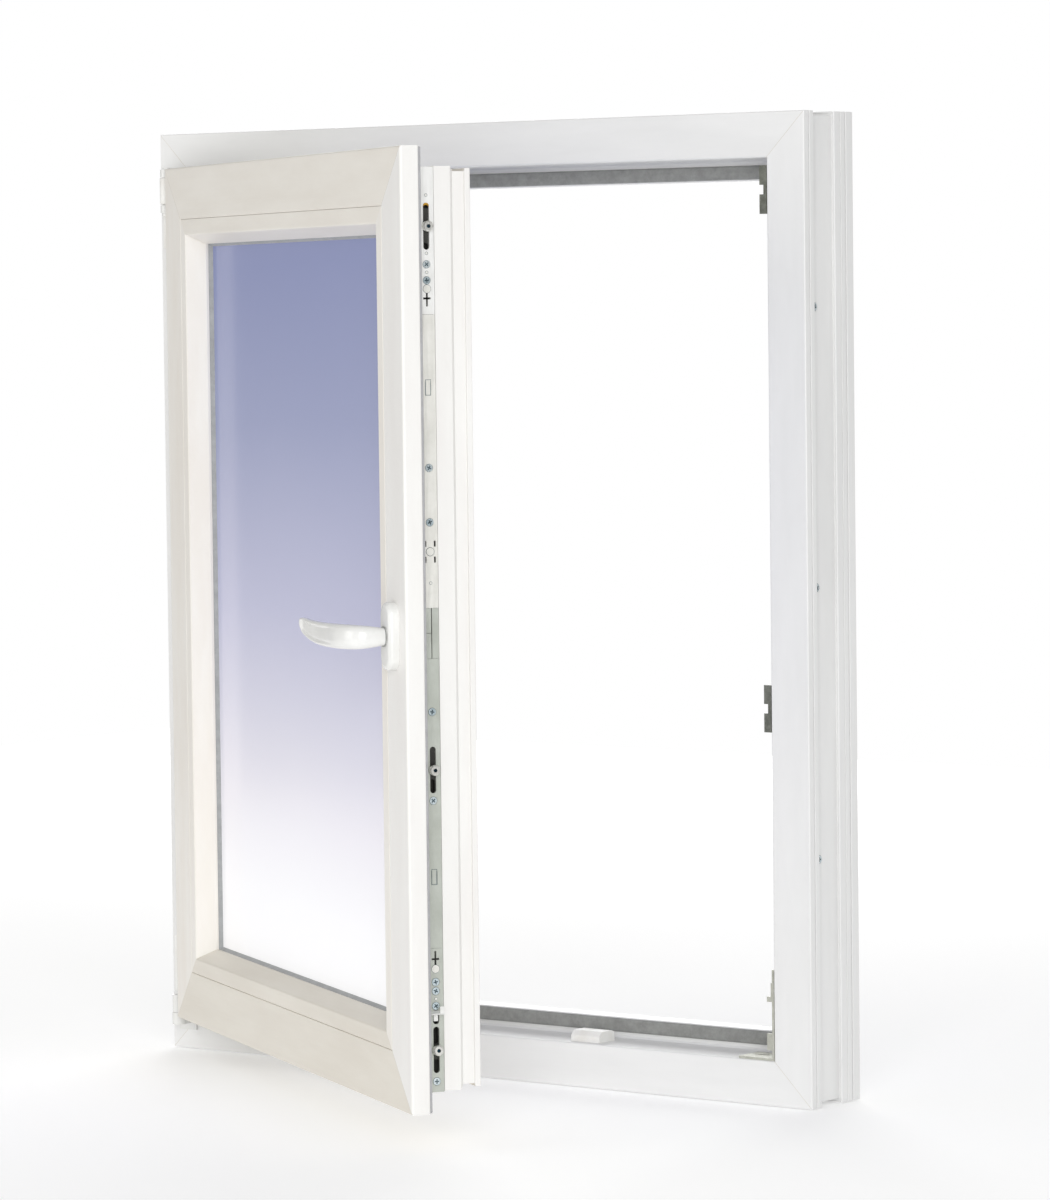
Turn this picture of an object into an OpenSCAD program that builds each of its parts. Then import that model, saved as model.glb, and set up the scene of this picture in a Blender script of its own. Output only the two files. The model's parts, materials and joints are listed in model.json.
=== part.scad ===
// Tilt-and-turn casement window: fixed outer frame, glazed inward-opening sash and its fittings.
// Axes: +X to the lock side, +Y to the outdoors, +Z up. Origin: underside of the sill, on its bed land.

/* [Outer frame] */
// Overall width of the outer frame
frame_w = 888; // [700:1:1200]
// Overall height of the outer frame
frame_h = 1050; // [1000:1:1100]
// Depth of the outer frame from room face to outdoor face
frame_d = 92; // [90:1:96]
// Width of the frame's room face
face_w = 48; // [46:0.5:50]
// Width of the frame with its outdoor upstand
upstand_w = 70; // [68:1:74]
// Depth of the rebate in front of the upstand
rebate_d = 62; // [60:1:64]

/* [Sash] */
// Angle of the sash at rest, 0 is shut
open_angle = 32.2; // [0:0.1:90]
// How far the sash laps over the frame's room face
lap = 8; // [6:0.5:9]
// Thickness of the lapping flange
lap_t = 20; // [18:0.5:22]
// Gap between the flange's back and the frame's room face
lap_gap = 5; // [4:0.5:6]
// Depth of the whole sash profile
sash_d = 82; // [80:1:84]
// Width of the sash profile up to the edge of the glass
sash_face = 88; // [86:1:92]

/* [Glazing] */
// Thickness of one pane
pane_t = 4; // [3:1:4]
// Gap between the panes
pane_gap = 20; // [16:1:20]
// Distance from the sash's room face to the first pane
pane_v = 28.5; // [28:0.5:30]
// Distance from the sash's edge to the edge of the panes
pane_u = 68; // [67:0.5:70]

/* [Hinges] */
// Distance of the upright hinge axis from the frame's edge
axis_u = 24; // [22:0.5:26]
// Distance of the upright hinge axis in front of the frame's room face
axis_v = 18; // [16:0.5:20]
// Height of the level axis that the sash tilts on
tilt_z = 56; // [54:0.5:58]
// Length of the stay arm from the hinge axis to its pin
arm_len = 350; // [250:5:400]

/* [Handle and gear] */
// Height of the handle's axis
handle_z = 520; // [500:1:540]
// Travel of the drive rod each way
rod_travel = 18; // [16:0.5:18]
// Length of the handle's grip from the axis to its tip
grip_len = 132; // [115:1:140]
// Height of the handle's rose
rose_h = 69; // [64:1:74]
// Width of the handle's rose
rose_w = 29; // [26:1:32]
// Thickness of the handle's rose
rose_t = 11; // [9:0.5:13]

/* [Hidden] */
$fn = 48;
SIDES = ["bottom", "top", "hinge", "lock"];

// Clearance that lets one piece slide into another, and the hairline between two that touch
fit = 0.2;
touch = 0.02;
// Width of the sash's lapping flange past its body, and the handle's distance from the body's edge
lap_w = 20;
backset = 15;
// Depth of the bed land's middle behind the room face, where the origin lies
bed_v = 73;
// Size of the sash over its flange, and its set-back from the frame's room face
sash_w = frame_w - 2 * (face_w - lap);
sash_h = frame_h - 2 * (face_w - lap);
sash_v0 = -lap_gap - lap_t;
mid_z = frame_h / 2;
// How far the flange's seal stands out towards the frame
seal_lip = 3.2;
// Upright hinge axis
axis_x = -frame_w / 2 + axis_u;
axis_y = -axis_v;
// Glazing unit
unit_t = 2 * pane_t + pane_gap;
pane_v2 = pane_v + unit_t;
leg_v = pane_v2 + 4;
rebate_u = pane_u - 5;
bead_u = 58.5;
bead_v = 12;
// Fittings groove in the sash's edge: faceplate rebate, then the rod groove
plate_v0 = 26;
plate_v1 = 42;
plate_t = 2.5;
plate_gap = 0.4;
groove_v = (plate_v0 + plate_v1) / 2;
groove_w = 12.4;
groove_u = 31;
rod_u = 2.8;
rod_t = 2.2;
rod_w = 10;
body_top = frame_h - (face_w - lap) - lap_w;
body_bottom = (face_w - lap) + lap_w;
// Heights along the lock stile
cam_zs = [930, 385, 102];
screw_zs = [892, 876, 688.5, 634, 443.5, 354, 170.7, 161.6, 146.5, 70];
plate_joints = [body_top - 0.5, 842, 548, 497, 205, 59];
case_h = 100;
// Rod slots that clear the faceplate screws over the whole travel
rod_slots = [[876, 892], [688.5, 688.5], [634, 634], [443.5, 443.5], [354, 354], [129, 170.7]];
tooth_n = 12;
tooth_pitch = 4 * rod_travel / tooth_n;
pitch_r = 2 * rod_travel / PI;
reinforcement_zs = [845, 550, 263];
// How far the box steels stop short of the corners
steel_stop = 62;
sash_steel_stop = 66;
// Box steels: wall, corner radius
steel_wall = 1.5;
steel_r = 1.2;
// Screws: head and shank radii and lengths for each row
shank_r = 1.9;
hardware_head_r = 4.3;
hardware_len = 21;
keeper_head_r = 4;
keeper_len = 19;
bearing_len = 22;
band_t = 3.4;
band_head_r = 3.8;
band_shank_r = 1.7;
band_len = 15;
rose_screw_r = 2.5;
// Screw heights on the lock jamb, the hinge jamb and the hinge band
keeper_screw_zs = [949, 988, 403, 441];
corner_keeper_screw_zs = [68, 138];
bearing_screw_zs = [74, 92, 116];
stay_screw_zs = [935, 950, 968];
band_screw_zs = [72, 96];
rose_screw_z = 21.5;
// Corner keeper's leg along the sill
leg_len = 46;
// Run-up block on the sill: middle, length, depth and height
runup_x = 140;
runup_len = 38;
runup_d = 28;
runup_t = 11.6;
// Hinge plates on the frame: distance from the frame's edge, width and thickness
hinge_plate_u = 11;
hinge_plate_w = 25;
hinge_plate_t = 3;
hinge_pin_r = 4;
// Stay arm: height of its strip, and its lap against the hinge plate's recess
stay_z = 994.5;
stay_t = 3;
stay_leg_v = -4.7;
stay_leg_t = 2.4;
pin_v = groove_v + sash_v0 + axis_v;
// Strip on the sash head that the arm's pin slides in
rail_len = 120;
rail_slot_r = 4.3;
// Drain slots in the sill
drain_xs = [-250, 250];
// Glazing packers
packer_len = 100;
packer_inset = 190;
// Handle's neck, and the square bar that turns the gear
neck_r = 9;
spindle_a = 7;
// Shank of a locking cam in the drive rod
cam_shank_r = 2.5;
// Height of the sprung lockout lever
lever_z = 141;

// ---- outlines with rounded corners: each corner is [x, y, radius] ----
function unit(v) = v / norm(v);
function arc_at(a, b, c, r, n) =
  let (p = unit(a - b), q = unit(c - b), ang = acos(p * q), phi = 180 - ang)
  let (m = b + unit(p + q) * r / sin(ang / 2))
  let (s = b + p * r / tan(ang / 2) - m, e = b + q * r / tan(ang / 2) - m)
  [for (i = [0:n]) m + s * sin((1 - i / n) * phi) / sin(phi) + e * sin(i / n * phi) / sin(phi)];
function xy(p) = [p[0], p[1]];
function rounded(pts, n = 4) = [
  for (i = [0:len(pts) - 1])
    let (k = len(pts), p = pts[i], a = xy(pts[(i + k - 1) % k]), c = xy(pts[(i + 1) % k]))
    each (len(p) < 3 || p[2] == 0) ? [xy(p)] : arc_at(a, xy(p), c, p[2], n)
];
// Corners of a box from a to b, with one radius
function box_pts(a, b, r = 0) = [[a[0], a[1], r], [b[0], a[1], r], [b[0], b[1], r], [a[0], b[1], r]];

// Outer frame profile: x runs inwards from the frame's edge, y runs back from the room face
frame_outline = [
  [0, 0, 1.2], [face_w, 0, 2], [face_w, rebate_d - 2], [face_w + 2, rebate_d], [upstand_w, rebate_d, 2],
  [upstand_w, frame_d - 4, 1.5], [upstand_w - 4, frame_d, 1.5], [0, frame_d, 1],
  [0, 79, 0.6], [3, 79], [3, 77], [0, 77, 0.6], [0, 69, 0.4], [1.5, 69], [1.5, 68], [0, 68, 0.4],
  [0, 57, 0.6], [1.5, 57], [1.5, 59], [5, 59], [5, 16], [1.5, 16], [1.5, 18],
  [0, 18, 0.6], [0, 10.5, 0.6], [3, 10.5], [3, 9], [0, 9, 0.6]
];
frame_chambers = [
  box_pts([6, 3], [face_w - 3, 14], 1), box_pts([8, 17], [face_w - 3, 56], 1),
  box_pts([6, 61], [38, frame_d - 3], 1), box_pts([41, rebate_d + 3], [upstand_w - 3, frame_d - 5], 1)
];
// Sash profile: x runs inwards from the flange's edge, y runs back from the sash's room face
sash_outline = [
  [0, 0, 2.5], [bead_u, 0, 1], [bead_u, bead_v], [rebate_u, bead_v], [rebate_u, leg_v],
  [sash_face, leg_v, 1], [sash_face, leg_v + 6, 1.5], [72, sash_d, 2], [22, sash_d, 1], [22, 76, 0.8],
  [25, 76], [25, 64], [lap_w, 60, 1], [lap_w, plate_v1 + plate_gap],
  [lap_w + plate_t + 0.1, plate_v1 + plate_gap],
  [lap_w + plate_t + 0.1, groove_v + groove_w / 2], [groove_u, groove_v + groove_w / 2],
  [groove_u, groove_v - groove_w / 2], [lap_w + plate_t + 0.1, groove_v - groove_w / 2],
  [lap_w + plate_t + 0.1, plate_v0 - plate_gap], [lap_w, plate_v0 - plate_gap], [lap_w, lap_t],
  [8, lap_t], [8, lap_t - 3], [4, lap_t - 3], [4, lap_t], [0, lap_t, 2]
];
sash_chambers = [
  box_pts([3, 3], [19, 14], 1), box_pts([22, 3], [bead_u - 3, 24], 1),
  box_pts([34, 27], [rebate_u - 3, 57], 1), box_pts([28, 60], [rebate_u - 3, sash_d - 3], 1),
  [[rebate_u + 3, leg_v + 3], [sash_face - 3, leg_v + 3], [sash_face - 3, leg_v + 5],
    [72, sash_d - 3.5], [rebate_u + 3, sash_d - 3.5]]
];
// Glazing bead: a foot in the sash's step, a flat face and a slope down to the glass
bead_outline = [
  [bead_u + fit, 0, 1], [76, 0, 2.5], [86.5, 21, 1.5], [86.5, pane_v - 4.2, 0.6],
  [rebate_u + fit, pane_v - 4.2],
  [rebate_u + fit, bead_v - fit], [bead_u + fit, bead_v - fit]
];
bead_chamber = [
  [bead_u + 3, 2.5], [74.5, 2.5], [82.5, 20], [66.5, 20], [66.5, bead_v - 3], [bead_u + 3, bead_v - 3]
];

// ---- rings and mitred bars ----
// Turns a bar drawn upright (x inwards, y back, z along) onto one side of a rectangle
module on_side(side, w, h) {
  if (side == "hinge") translate([-w / 2, 0, 0]) children();
  if (side == "lock") mirror([1, 0, 0]) translate([-w / 2, 0, 0]) children();
  if (side == "bottom") translate([0, 0, -h / 2]) rotate([0, -90, 0]) children();
  if (side == "top") mirror([0, 0, 1]) translate([0, 0, -h / 2]) rotate([0, -90, 0]) children();
}
function level(side) = side == "bottom" || side == "top";
function side_len(side, w, h) = level(side) ? w : h;

// Bar with mitred ends, from a profile given as children
module mitred(len, depth, reach) {
  far = len / 2 - reach;
  intersection() {
    linear_extrude(height = len, center = true) children();
    translate([0, depth + 10, 0]) rotate([90, 0, 0]) linear_extrude(height = depth + 20)
      polygon([[-1, -len / 2 - 1], [reach, -far], [reach, far], [-1, len / 2 + 1]]);
  }
}
module frame_bar(side) {
  translate([0, 0, mid_z]) on_side(side, frame_w, frame_h)
    mitred(side_len(side, frame_w, frame_h), frame_d, upstand_w + 5) children();
}
module sash_bar(side) {
  translate([0, 0, mid_z]) on_side(side, sash_w, sash_h)
    mitred(side_len(side, sash_w, sash_h), sash_d, sash_face + 5) children();
}
module frame_profile() {
  difference() {
    polygon(rounded(frame_outline));
    for (c = frame_chambers) polygon(rounded(c, 2));
  }
}
module sash_profile() {
  difference() {
    polygon(rounded(sash_outline));
    for (c = sash_chambers) polygon(rounded(c, 2));
  }
}
module bead_profile() {
  difference() {
    polygon(rounded(bead_outline));
    polygon(rounded(bead_chamber));
  }
}
// Straight-ended bar for steels and packers
module plain_bar(side, w, h, len) {
  translate([0, 0, mid_z]) on_side(side, w, h) linear_extrude(height = len, center = true) children();
}

// ---- places ----
module in_frame() { translate([0, -bed_v, 0]) children(); }
module about_axis(angle) {
  translate([axis_x, axis_y, 0]) rotate([0, 0, angle]) translate([-axis_x, -axis_y, 0]) children();
}
// Sash parts are drawn shut with y measured from the sash's room face
module in_sash() { in_frame() about_axis(-open_angle) translate([0, sash_v0, 0]) children(); }
// Parts on the hinge axis that turn with the sash keep y measured from the frame's room face
module on_axis() { in_frame() about_axis(-open_angle) children(); }
// Edge of the lock stile: x into the sash from its edge, y from the room face, z height
module lock_edge() { translate([sash_w / 2 - lap_w, 0, 0]) mirror([1, 0, 0]) children(); }
// Rebate of the lock jamb: x into the opening, y from the frame's room face, z height
module lock_rebate() { translate([frame_w / 2 - face_w, 0, 0]) mirror([1, 0, 0]) children(); }
module handle_axis() { translate([sash_w / 2 - lap_w - backset, 0, handle_z]) children(); }

// ---- fasteners ----
// Countersunk screw lying along -z, head's top at z = 0
module countersunk(head_r, shank_r, len) {
  translate([0, 0, -head_r + shank_r]) cylinder(r1 = shank_r, r2 = head_r, h = head_r - shank_r);
  translate([0, 0, -len]) cylinder(r = shank_r, h = len - head_r + shank_r + 0.01);
}
// The hole that clears such a screw
module countersunk_hole(head_r, shank_r, len) {
  translate([0, 0, -head_r + shank_r]) cylinder(r1 = shank_r + 0.1, r2 = head_r + 0.1, h = head_r - shank_r);
  translate([0, 0, -0.01]) cylinder(r = head_r + 0.1, h = 2);
  translate([0, 0, -len - 1]) cylinder(r = shank_r + 0.1, h = len + 1 - head_r + shank_r + 0.01);
}
// Turns a fastener that points along -z to point along +x
module into_x() { rotate([0, -90, 0]) children(); }
// Turns a fastener that points along -z to point along +y
module into_y() { rotate([90, 0, 0]) children(); }

// ---- screw places, shared by the screws and their holes ----
module at_hardware_screws() {
  lock_edge() for (z = screw_zs) translate([0, groove_v, z]) into_x() children();
}
module at_reinforcement() {
  for (s = [0, 1]) mirror([s, 0, 0])
    for (z = reinforcement_zs) translate([-frame_w / 2 + 5, 22, z]) into_x() children();
}
module at_keeper_screws() {
  lock_rebate() {
    for (z = keeper_screw_zs) translate([plate_t, 18, z]) rotate([0, 90, 0]) children();
    for (z = corner_keeper_screw_zs) translate([plate_t, 30, z]) rotate([0, 90, 0]) children();
  }
}
module at_bearing_screws() {
  for (z = concat(bearing_screw_zs, stay_screw_zs))
    translate([-frame_w / 2 + 18, -hinge_plate_t, z]) into_y() children();
}
module at_rose_screws() {
  handle_axis() for (s = [-1, 1]) translate([0, -2, s * rose_screw_z]) into_y() children();
}
module at_band_screws() {
  for (z = band_screw_zs) translate([-sash_w / 2 - band_t, 10, z]) into_x() children();
}

// ---- outer frame ----
module frame_member(side) {
  color("white") in_frame() difference() {
    frame_bar(side) frame_profile();
    at_reinforcement() countersunk_hole(2.2, shank_r, 12);
    at_keeper_screws() countersunk_hole(keeper_head_r, shank_r - 0.1, keeper_len + 1);
    at_bearing_screws() countersunk_hole(keeper_head_r, shank_r, bearing_len + 3);
    if (side == "bottom") drain_slots();
  }
}
module drain_slots() {
  for (x = drain_xs) translate([x - 11, frame_d - 6, 18]) cube([22, 10, 5]);
}
module frame_sill() { frame_member("bottom"); }
module frame_head() { frame_member("top"); }
module frame_jamb_hinge() { frame_member("hinge"); }
module frame_jamb_lock() { frame_member("lock"); }

// Galvanised box steel with one wall left open, inside the frame's main chamber
module steel_section(a, b, lip) {
  wall = [steel_wall, steel_wall];
  difference() {
    polygon(rounded(box_pts(a, b, steel_r)));
    polygon(rounded(box_pts(a + wall, b - wall)));
    polygon(rounded(box_pts([a[0] + lip, b[1] - 2], [b[0] - lip, b[1] + 1])));
  }
}
module frame_steels() {
  color("silver") in_frame() difference() {
    for (s = SIDES) plain_bar(s, frame_w, frame_h, side_len(s, frame_w, frame_h) - 2 * steel_stop)
      steel_section([8 + fit, 17 + fit], [face_w - 3 - fit, 56 - fit], 10);
    at_reinforcement() countersunk_hole(2.2, shank_r, 12);
    at_keeper_screws() countersunk_hole(keeper_head_r, shank_r - 0.1, keeper_len + 1);
    at_bearing_screws() countersunk_hole(keeper_head_r, shank_r, bearing_len + 3);
  }
}
// Seal on the upstand's room side that the shut sash closes on
module frame_seal() {
  color("dimgray") in_frame() for (s = SIDES) frame_bar(s)
    polygon(rounded([[54, rebate_d - touch], [69, rebate_d - touch], [69, rebate_d - 2.6, 0.8],
      [66, rebate_d - 4.5, 0.8], [56, rebate_d - 2.6, 0.8]]));
}
module reinforcement_screws() {
  color("silver") in_frame() at_reinforcement() {
    translate([0, 0, 0.02]) cylinder(r1 = 4.7, r2 = 3.4, h = 2.2);
    translate([0, 0, -11]) cylinder(r = 1.9, h = 11.1);
  }
}

// ---- keepers on the lock jamb ----
// Flat keeper with a wall on its room side that a locking cam passes behind
module keeper(z0, z1) {
  zm = (z0 + z1) / 2;
  color("darkolivegreen") in_frame() difference() {
    lock_rebate() union() {
      translate([0.02, 0.3, z0]) cube([plate_t, 24, z1 - z0]);
      translate([0.02, 0.3, z0]) cube([9, 2.6, z1 - z0]);
    }
    lock_rebate() translate([4, -1, zm - 5]) cube([8, 5, 10]);
    lock_rebate() translate([-1, 17, zm - 5]) cube([5, 9, 10]);
    at_keeper_screws() countersunk_hole(keeper_head_r, shank_r - 0.1, keeper_len + 1);
  }
}
module keeper_upper() { keeper(943, 994); }
module keeper_middle() { keeper(397, 447); }
// Corner keeper: upright plate, ramp block and bottom block, and a leg along the sill
module keeper_corner() {
  color("darkolivegreen") in_frame() difference() {
    lock_rebate() union() {
      translate([0.02, 0.3, face_w + 0.02]) cube([plate_t, 36, 97]);
      translate([0.02, 0.3, face_w + 0.02]) cube([leg_len, 36, plate_t]);
      translate([0.02, 0.3, 110.7]) rotate([90, 0, 90]) linear_extrude(height = 9)
        polygon([[0, 0], [1.8, 0], [2.6, 1.5], [2.6, 5.6], [0, 5.6]]);
      translate([0.02, 0.3, 110.7]) rotate([90, 0, 90]) linear_extrude(height = 4)
        polygon([[0, 0], [2.6, 0], [2.6, 16], [1, 20.3], [0, 20.3]]);
      translate([0.02, 0.3, 59]) cube([9, 2.6, 18]);
    }
    lock_rebate() translate([0, 20, 0]) {
      translate([22, 0, face_w - 1]) cylinder(r = 2.6, h = 5);
      translate([36, 0, face_w - 1]) cylinder(r = 2.6, h = 5);
      translate([22, -2.6, face_w - 1]) cube([14, 5.2, 5]);
    }
    at_keeper_screws() countersunk_hole(keeper_head_r, shank_r - 0.1, keeper_len + 1);
  }
}
module keeper_screws() {
  color("silver") in_frame() at_keeper_screws() countersunk(keeper_head_r, shank_r - 0.1, keeper_len);
}
// Block on the sill that lifts and centres the sash as it shuts
module runup_block() {
  color("white") in_frame() translate([runup_x - runup_len / 2, 10, face_w + touch])
    rotate([90, 0, 90]) linear_extrude(height = runup_len) polygon(rounded([
      [0, 0], [runup_d, 0], [runup_d, runup_t - 2, 2], [runup_d - 5, runup_t, 2], [5, runup_t, 3], [0, 6.5, 2]
    ]));
}

// ---- hinges on the frame ----
module corner_bearing() {
  color("white") in_frame() difference() {
    union() {
      translate([-frame_w / 2 + hinge_plate_u, -hinge_plate_t, 22])
        cube([hinge_plate_w, hinge_plate_t - touch, 106]);
      translate([axis_x - 7, axis_y, 30]) cube([14, axis_v - 1, 13.7]);
      translate([axis_x, axis_y, 30]) cylinder(r = 8, h = 13.7);
    }
    translate([axis_x, axis_y, 33]) cylinder(r = hinge_pin_r + 0.05, h = 20);
    at_bearing_screws() countersunk_hole(keeper_head_r, shank_r, bearing_len + 3);
  }
}
module corner_cover() {
  color("white") in_frame() difference() {
    translate([-frame_w / 2 + 9, -6.5, 66]) cube([28, 6.48, 64.5]);
    translate([-frame_w / 2 + 10.8, -3.1, 60]) cube([25.4, 5, 68.2]);
  }
}
module stay_bearing() {
  color("white") in_frame() difference() {
    union() {
      translate([-frame_w / 2 + hinge_plate_u, -hinge_plate_t, 924])
        cube([hinge_plate_w, hinge_plate_t - touch, 86]);
      for (z = [960, 1000.5]) {
        translate([axis_x - 6, axis_y, z]) cube([12, axis_v - 1, 9]);
        translate([axis_x, axis_y, z]) cylinder(r = 7, h = 9);
      }
    }
    translate([axis_x, axis_y, 955]) cylinder(r = hinge_pin_r, h = 60);
    translate([-frame_w / 2, -hinge_plate_t - 1, 974.5]) cube([60, 2, 24.5]);
    at_bearing_screws() countersunk_hole(keeper_head_r, shank_r, bearing_len + 3);
  }
}
module stay_cover() {
  color("white") in_frame() difference() {
    translate([-frame_w / 2 + 9, -6.5, 920]) cube([28, 6.48, 39]);
    translate([-frame_w / 2 + 10.8, -3.1, 921.5]) cube([25.4, 5, 40]);
  }
}
module stay_pin() {
  color("silver") in_frame() translate([axis_x, axis_y, 959]) {
    cylinder(r = hinge_pin_r - touch, h = 52.5);
    translate([0, 0, -2]) cylinder(r = 5.5, h = 2.9);
  }
}
module bearing_screws() {
  color("silver") in_frame() at_bearing_screws() countersunk(keeper_head_r, shank_r, bearing_len);
}
module drain_caps() {
  color("white") in_frame() for (x = drain_xs) difference() {
    translate([x - 16, frame_d + 0.02, 13]) cube([32, 4, 14]);
    translate([x - 13, frame_d - 1, 11]) cube([26, 3.6, 13]);
  }
}

// ---- pieces that turn on the upright axis ----
module corner_pivot() {
  color("silver") on_axis() translate([axis_x, axis_y, 0]) {
    translate([0, 0, 33.5]) cylinder(r = hinge_pin_r, h = 11);
    translate([0, 0, 44]) cylinder(r = 7.5, h = 20);
    translate([6, 0, tilt_z]) rotate([0, 90, 0]) cylinder(r = 3, h = 9.5);
  }
}
module stay_arm() {
  color("silver") on_axis() difference() {
    union() {
      translate([axis_x, axis_y, 970]) cylinder(r = 7, h = 30);
      translate([axis_x, axis_y - 3, 976]) cube([6.5, axis_v - 1.2, 21.5]);
      translate([axis_x, stay_leg_v, 976]) cube([31, stay_leg_t, 21.5]);
      translate([axis_x + 26.5, stay_leg_v, stay_z]) cube([8, 24, stay_t]);
      translate([axis_x, axis_y, stay_z]) linear_extrude(height = stay_t)
        polygon([[26.5, 14.5], [40, 14.5], [arm_len - 10, pin_v - 6], [arm_len + 6, pin_v - 6],
          [arm_len + 6, pin_v + 6], [arm_len - 10, pin_v + 6], [26.5, 36]]);
    }
    translate([axis_x, axis_y, 960]) cylinder(r = hinge_pin_r + 0.05, h = 50);
  }
}
module stay_slider() {
  color("silver") on_axis() translate([axis_x + arm_len, axis_y + pin_v, 0]) {
    translate([0, 0, 983]) cylinder(r = 3, h = 11.48);
    translate([0, 0, 997.52]) cylinder(r = 4.5, h = 1.4);
  }
}

// ---- sash ----
module sash_member(side) {
  color("ivory") in_sash() difference() {
    sash_bar(side) sash_profile();
    if (side == "lock") lock_stile_cuts();
    if (side == "bottom") at_hardware_screws() countersunk_hole(hardware_head_r, shank_r, hardware_len + 1);
    if (side == "hinge") at_band_screws() countersunk_hole(band_head_r, band_shank_r, band_len + 1);
  }
}
module lock_stile_cuts() {
  at_hardware_screws() countersunk_hole(hardware_head_r, shank_r, hardware_len + 1);
  lock_edge() translate([0, groove_v - 6, handle_z - case_h / 2 - 0.5]) cube([29.5, 12, case_h + 1]);
  handle_axis() translate([0, -1, 0]) rotate([-90, 0, 0]) cylinder(r = 6.5, h = 35);
  at_rose_screws() translate([0, 0, -32]) cylinder(r = rose_screw_r + 0.1, h = 34);
}
module sash_sill() { sash_member("bottom"); }
module sash_head() { sash_member("top"); }
module sash_stile_hinge() { sash_member("hinge"); }
module sash_stile_lock() { sash_member("lock"); }

module sash_steels() {
  color("silver") in_sash() difference() {
    for (s = SIDES) plain_bar(s, sash_w, sash_h, side_len(s, sash_w, sash_h) - 2 * sash_steel_stop)
      steel_section([34 + fit, 27 + fit], [rebate_u - 3 - fit, 57 - fit], 7);
    lock_edge() translate([10, groove_v - 9, handle_z - case_h / 2 - 2]) cube([21, 16, case_h + 4]);
    at_hardware_screws() countersunk_hole(hardware_head_r, shank_r, hardware_len + 1);
    at_rose_screws() translate([0, 0, -32]) cylinder(r = rose_screw_r + 0.1, h = 34);
  }
}
// Seal in the flange's back, notched where the stay arm passes
module overlap_seal() {
  color("lightgray") in_sash() difference() {
    for (s = SIDES) sash_bar(s)
      polygon(rounded([
        [4.1, lap_t - 2.9], [7.9, lap_t - 2.9], [7.9, lap_t + 0.05], [9.2, lap_t + 0.05, 0.4],
        [8.2, lap_t + seal_lip, 1], [1.8, lap_t + seal_lip, 1], [1, lap_t + 0.05, 0.3], [4.1, lap_t + 0.05]
      ], 2));
    translate([-sash_w / 2 - 2, lap_t - 4, 972]) cube([16, 9, 29]);
  }
}

// ---- glazing ----
module pane_plate(v) {
  translate([-sash_w / 2 + pane_u, v, mid_z - sash_h / 2 + pane_u])
    cube([sash_w - 2 * pane_u, pane_t, sash_h - 2 * pane_u]);
}
module pane_inner() { color("lightblue", 0.35) in_sash() pane_plate(pane_v); }
module pane_outer() { color("lightblue", 0.35) in_sash() pane_plate(pane_v + pane_t + pane_gap); }
module gap_ring(u0, u1, wall) {
  v0 = pane_v + pane_t + 0.02;
  v1 = pane_v + pane_t + pane_gap - 0.02;
  for (s = SIDES) sash_bar(s) difference() {
    polygon(rounded(box_pts([u0, v0], [u1, v1])));
    if (wall > 0) polygon(rounded(box_pts([u0 + wall, v0 + wall], [u1 - wall, v1 - wall])));
  }
}
module spacer_bar() { color("silver") in_sash() gap_ring(73.02, 80, 0.6); }
module edge_sealant() { color("dimgray") in_sash() gap_ring(68.5, 73, 0); }
module glazing_packers() {
  color("royalblue") in_sash() for (s = SIDES) for (e = [-1, 1])
    translate(level(s) ? [e * (sash_w / 2 - packer_inset), 0, 0] : [0, 0, e * (sash_h / 2 - packer_inset)])
      plain_bar(s, sash_w, sash_h, packer_len)
        polygon(rounded(box_pts([rebate_u + 0.05, pane_v + 1], [pane_u - 0.05, pane_v2 - 1])));
}
module glazing_seal_outer() {
  color("gray") in_sash() for (s = SIDES) sash_bar(s)
    polygon([[80, pane_v2 + 0.02], [87, pane_v2 + 0.02], [88.5, leg_v - 0.02], [80, leg_v - 0.02]]);
}
module glazing_seal_inner() {
  color("gray") in_sash() for (s = SIDES) sash_bar(s)
    polygon([[81, pane_v - 4.18], [86.6, pane_v - 4.18], [89.4, pane_v - 0.02], [81, pane_v - 0.02]]);
}
module bead(side) { color("ivory") in_sash() sash_bar(side) bead_profile(); }
module bead_bottom() { bead("bottom"); }
module bead_top() { bead("top"); }
module bead_hinge() { bead("hinge"); }
module bead_lock() { bead("lock"); }

// ---- faceplate strip and what is cut in it ----
module plate_piece(i) {
  z1 = plate_joints[i] - 0.1;
  z0 = plate_joints[i + 1] + 0.1;
  color("gainsboro") in_sash() difference() {
    lock_edge() translate([0, plate_v0, z0]) cube([plate_t, plate_v1 - plate_v0, z1 - z0]);
    at_hardware_screws() countersunk_hole(hardware_head_r, shank_r, hardware_len + 1);
    lock_edge() plate_cuts();
    lock_edge() gearbox_slits();
  }
}
// Slits that part the gearbox's plate into a long tongue and two short ones
module gearbox_slits() {
  z0 = plate_joints[3];
  z1 = plate_joints[2];
  zm = (z0 + z1) / 2;
  translate([-1, groove_v, z0]) cube([plate_t + 2, 0.9, z1 - z0]);
  translate([-1, plate_v0 - 1, zm]) cube([plate_t + 2, groove_v - plate_v0 + 1.5, 0.4]);
}
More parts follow.
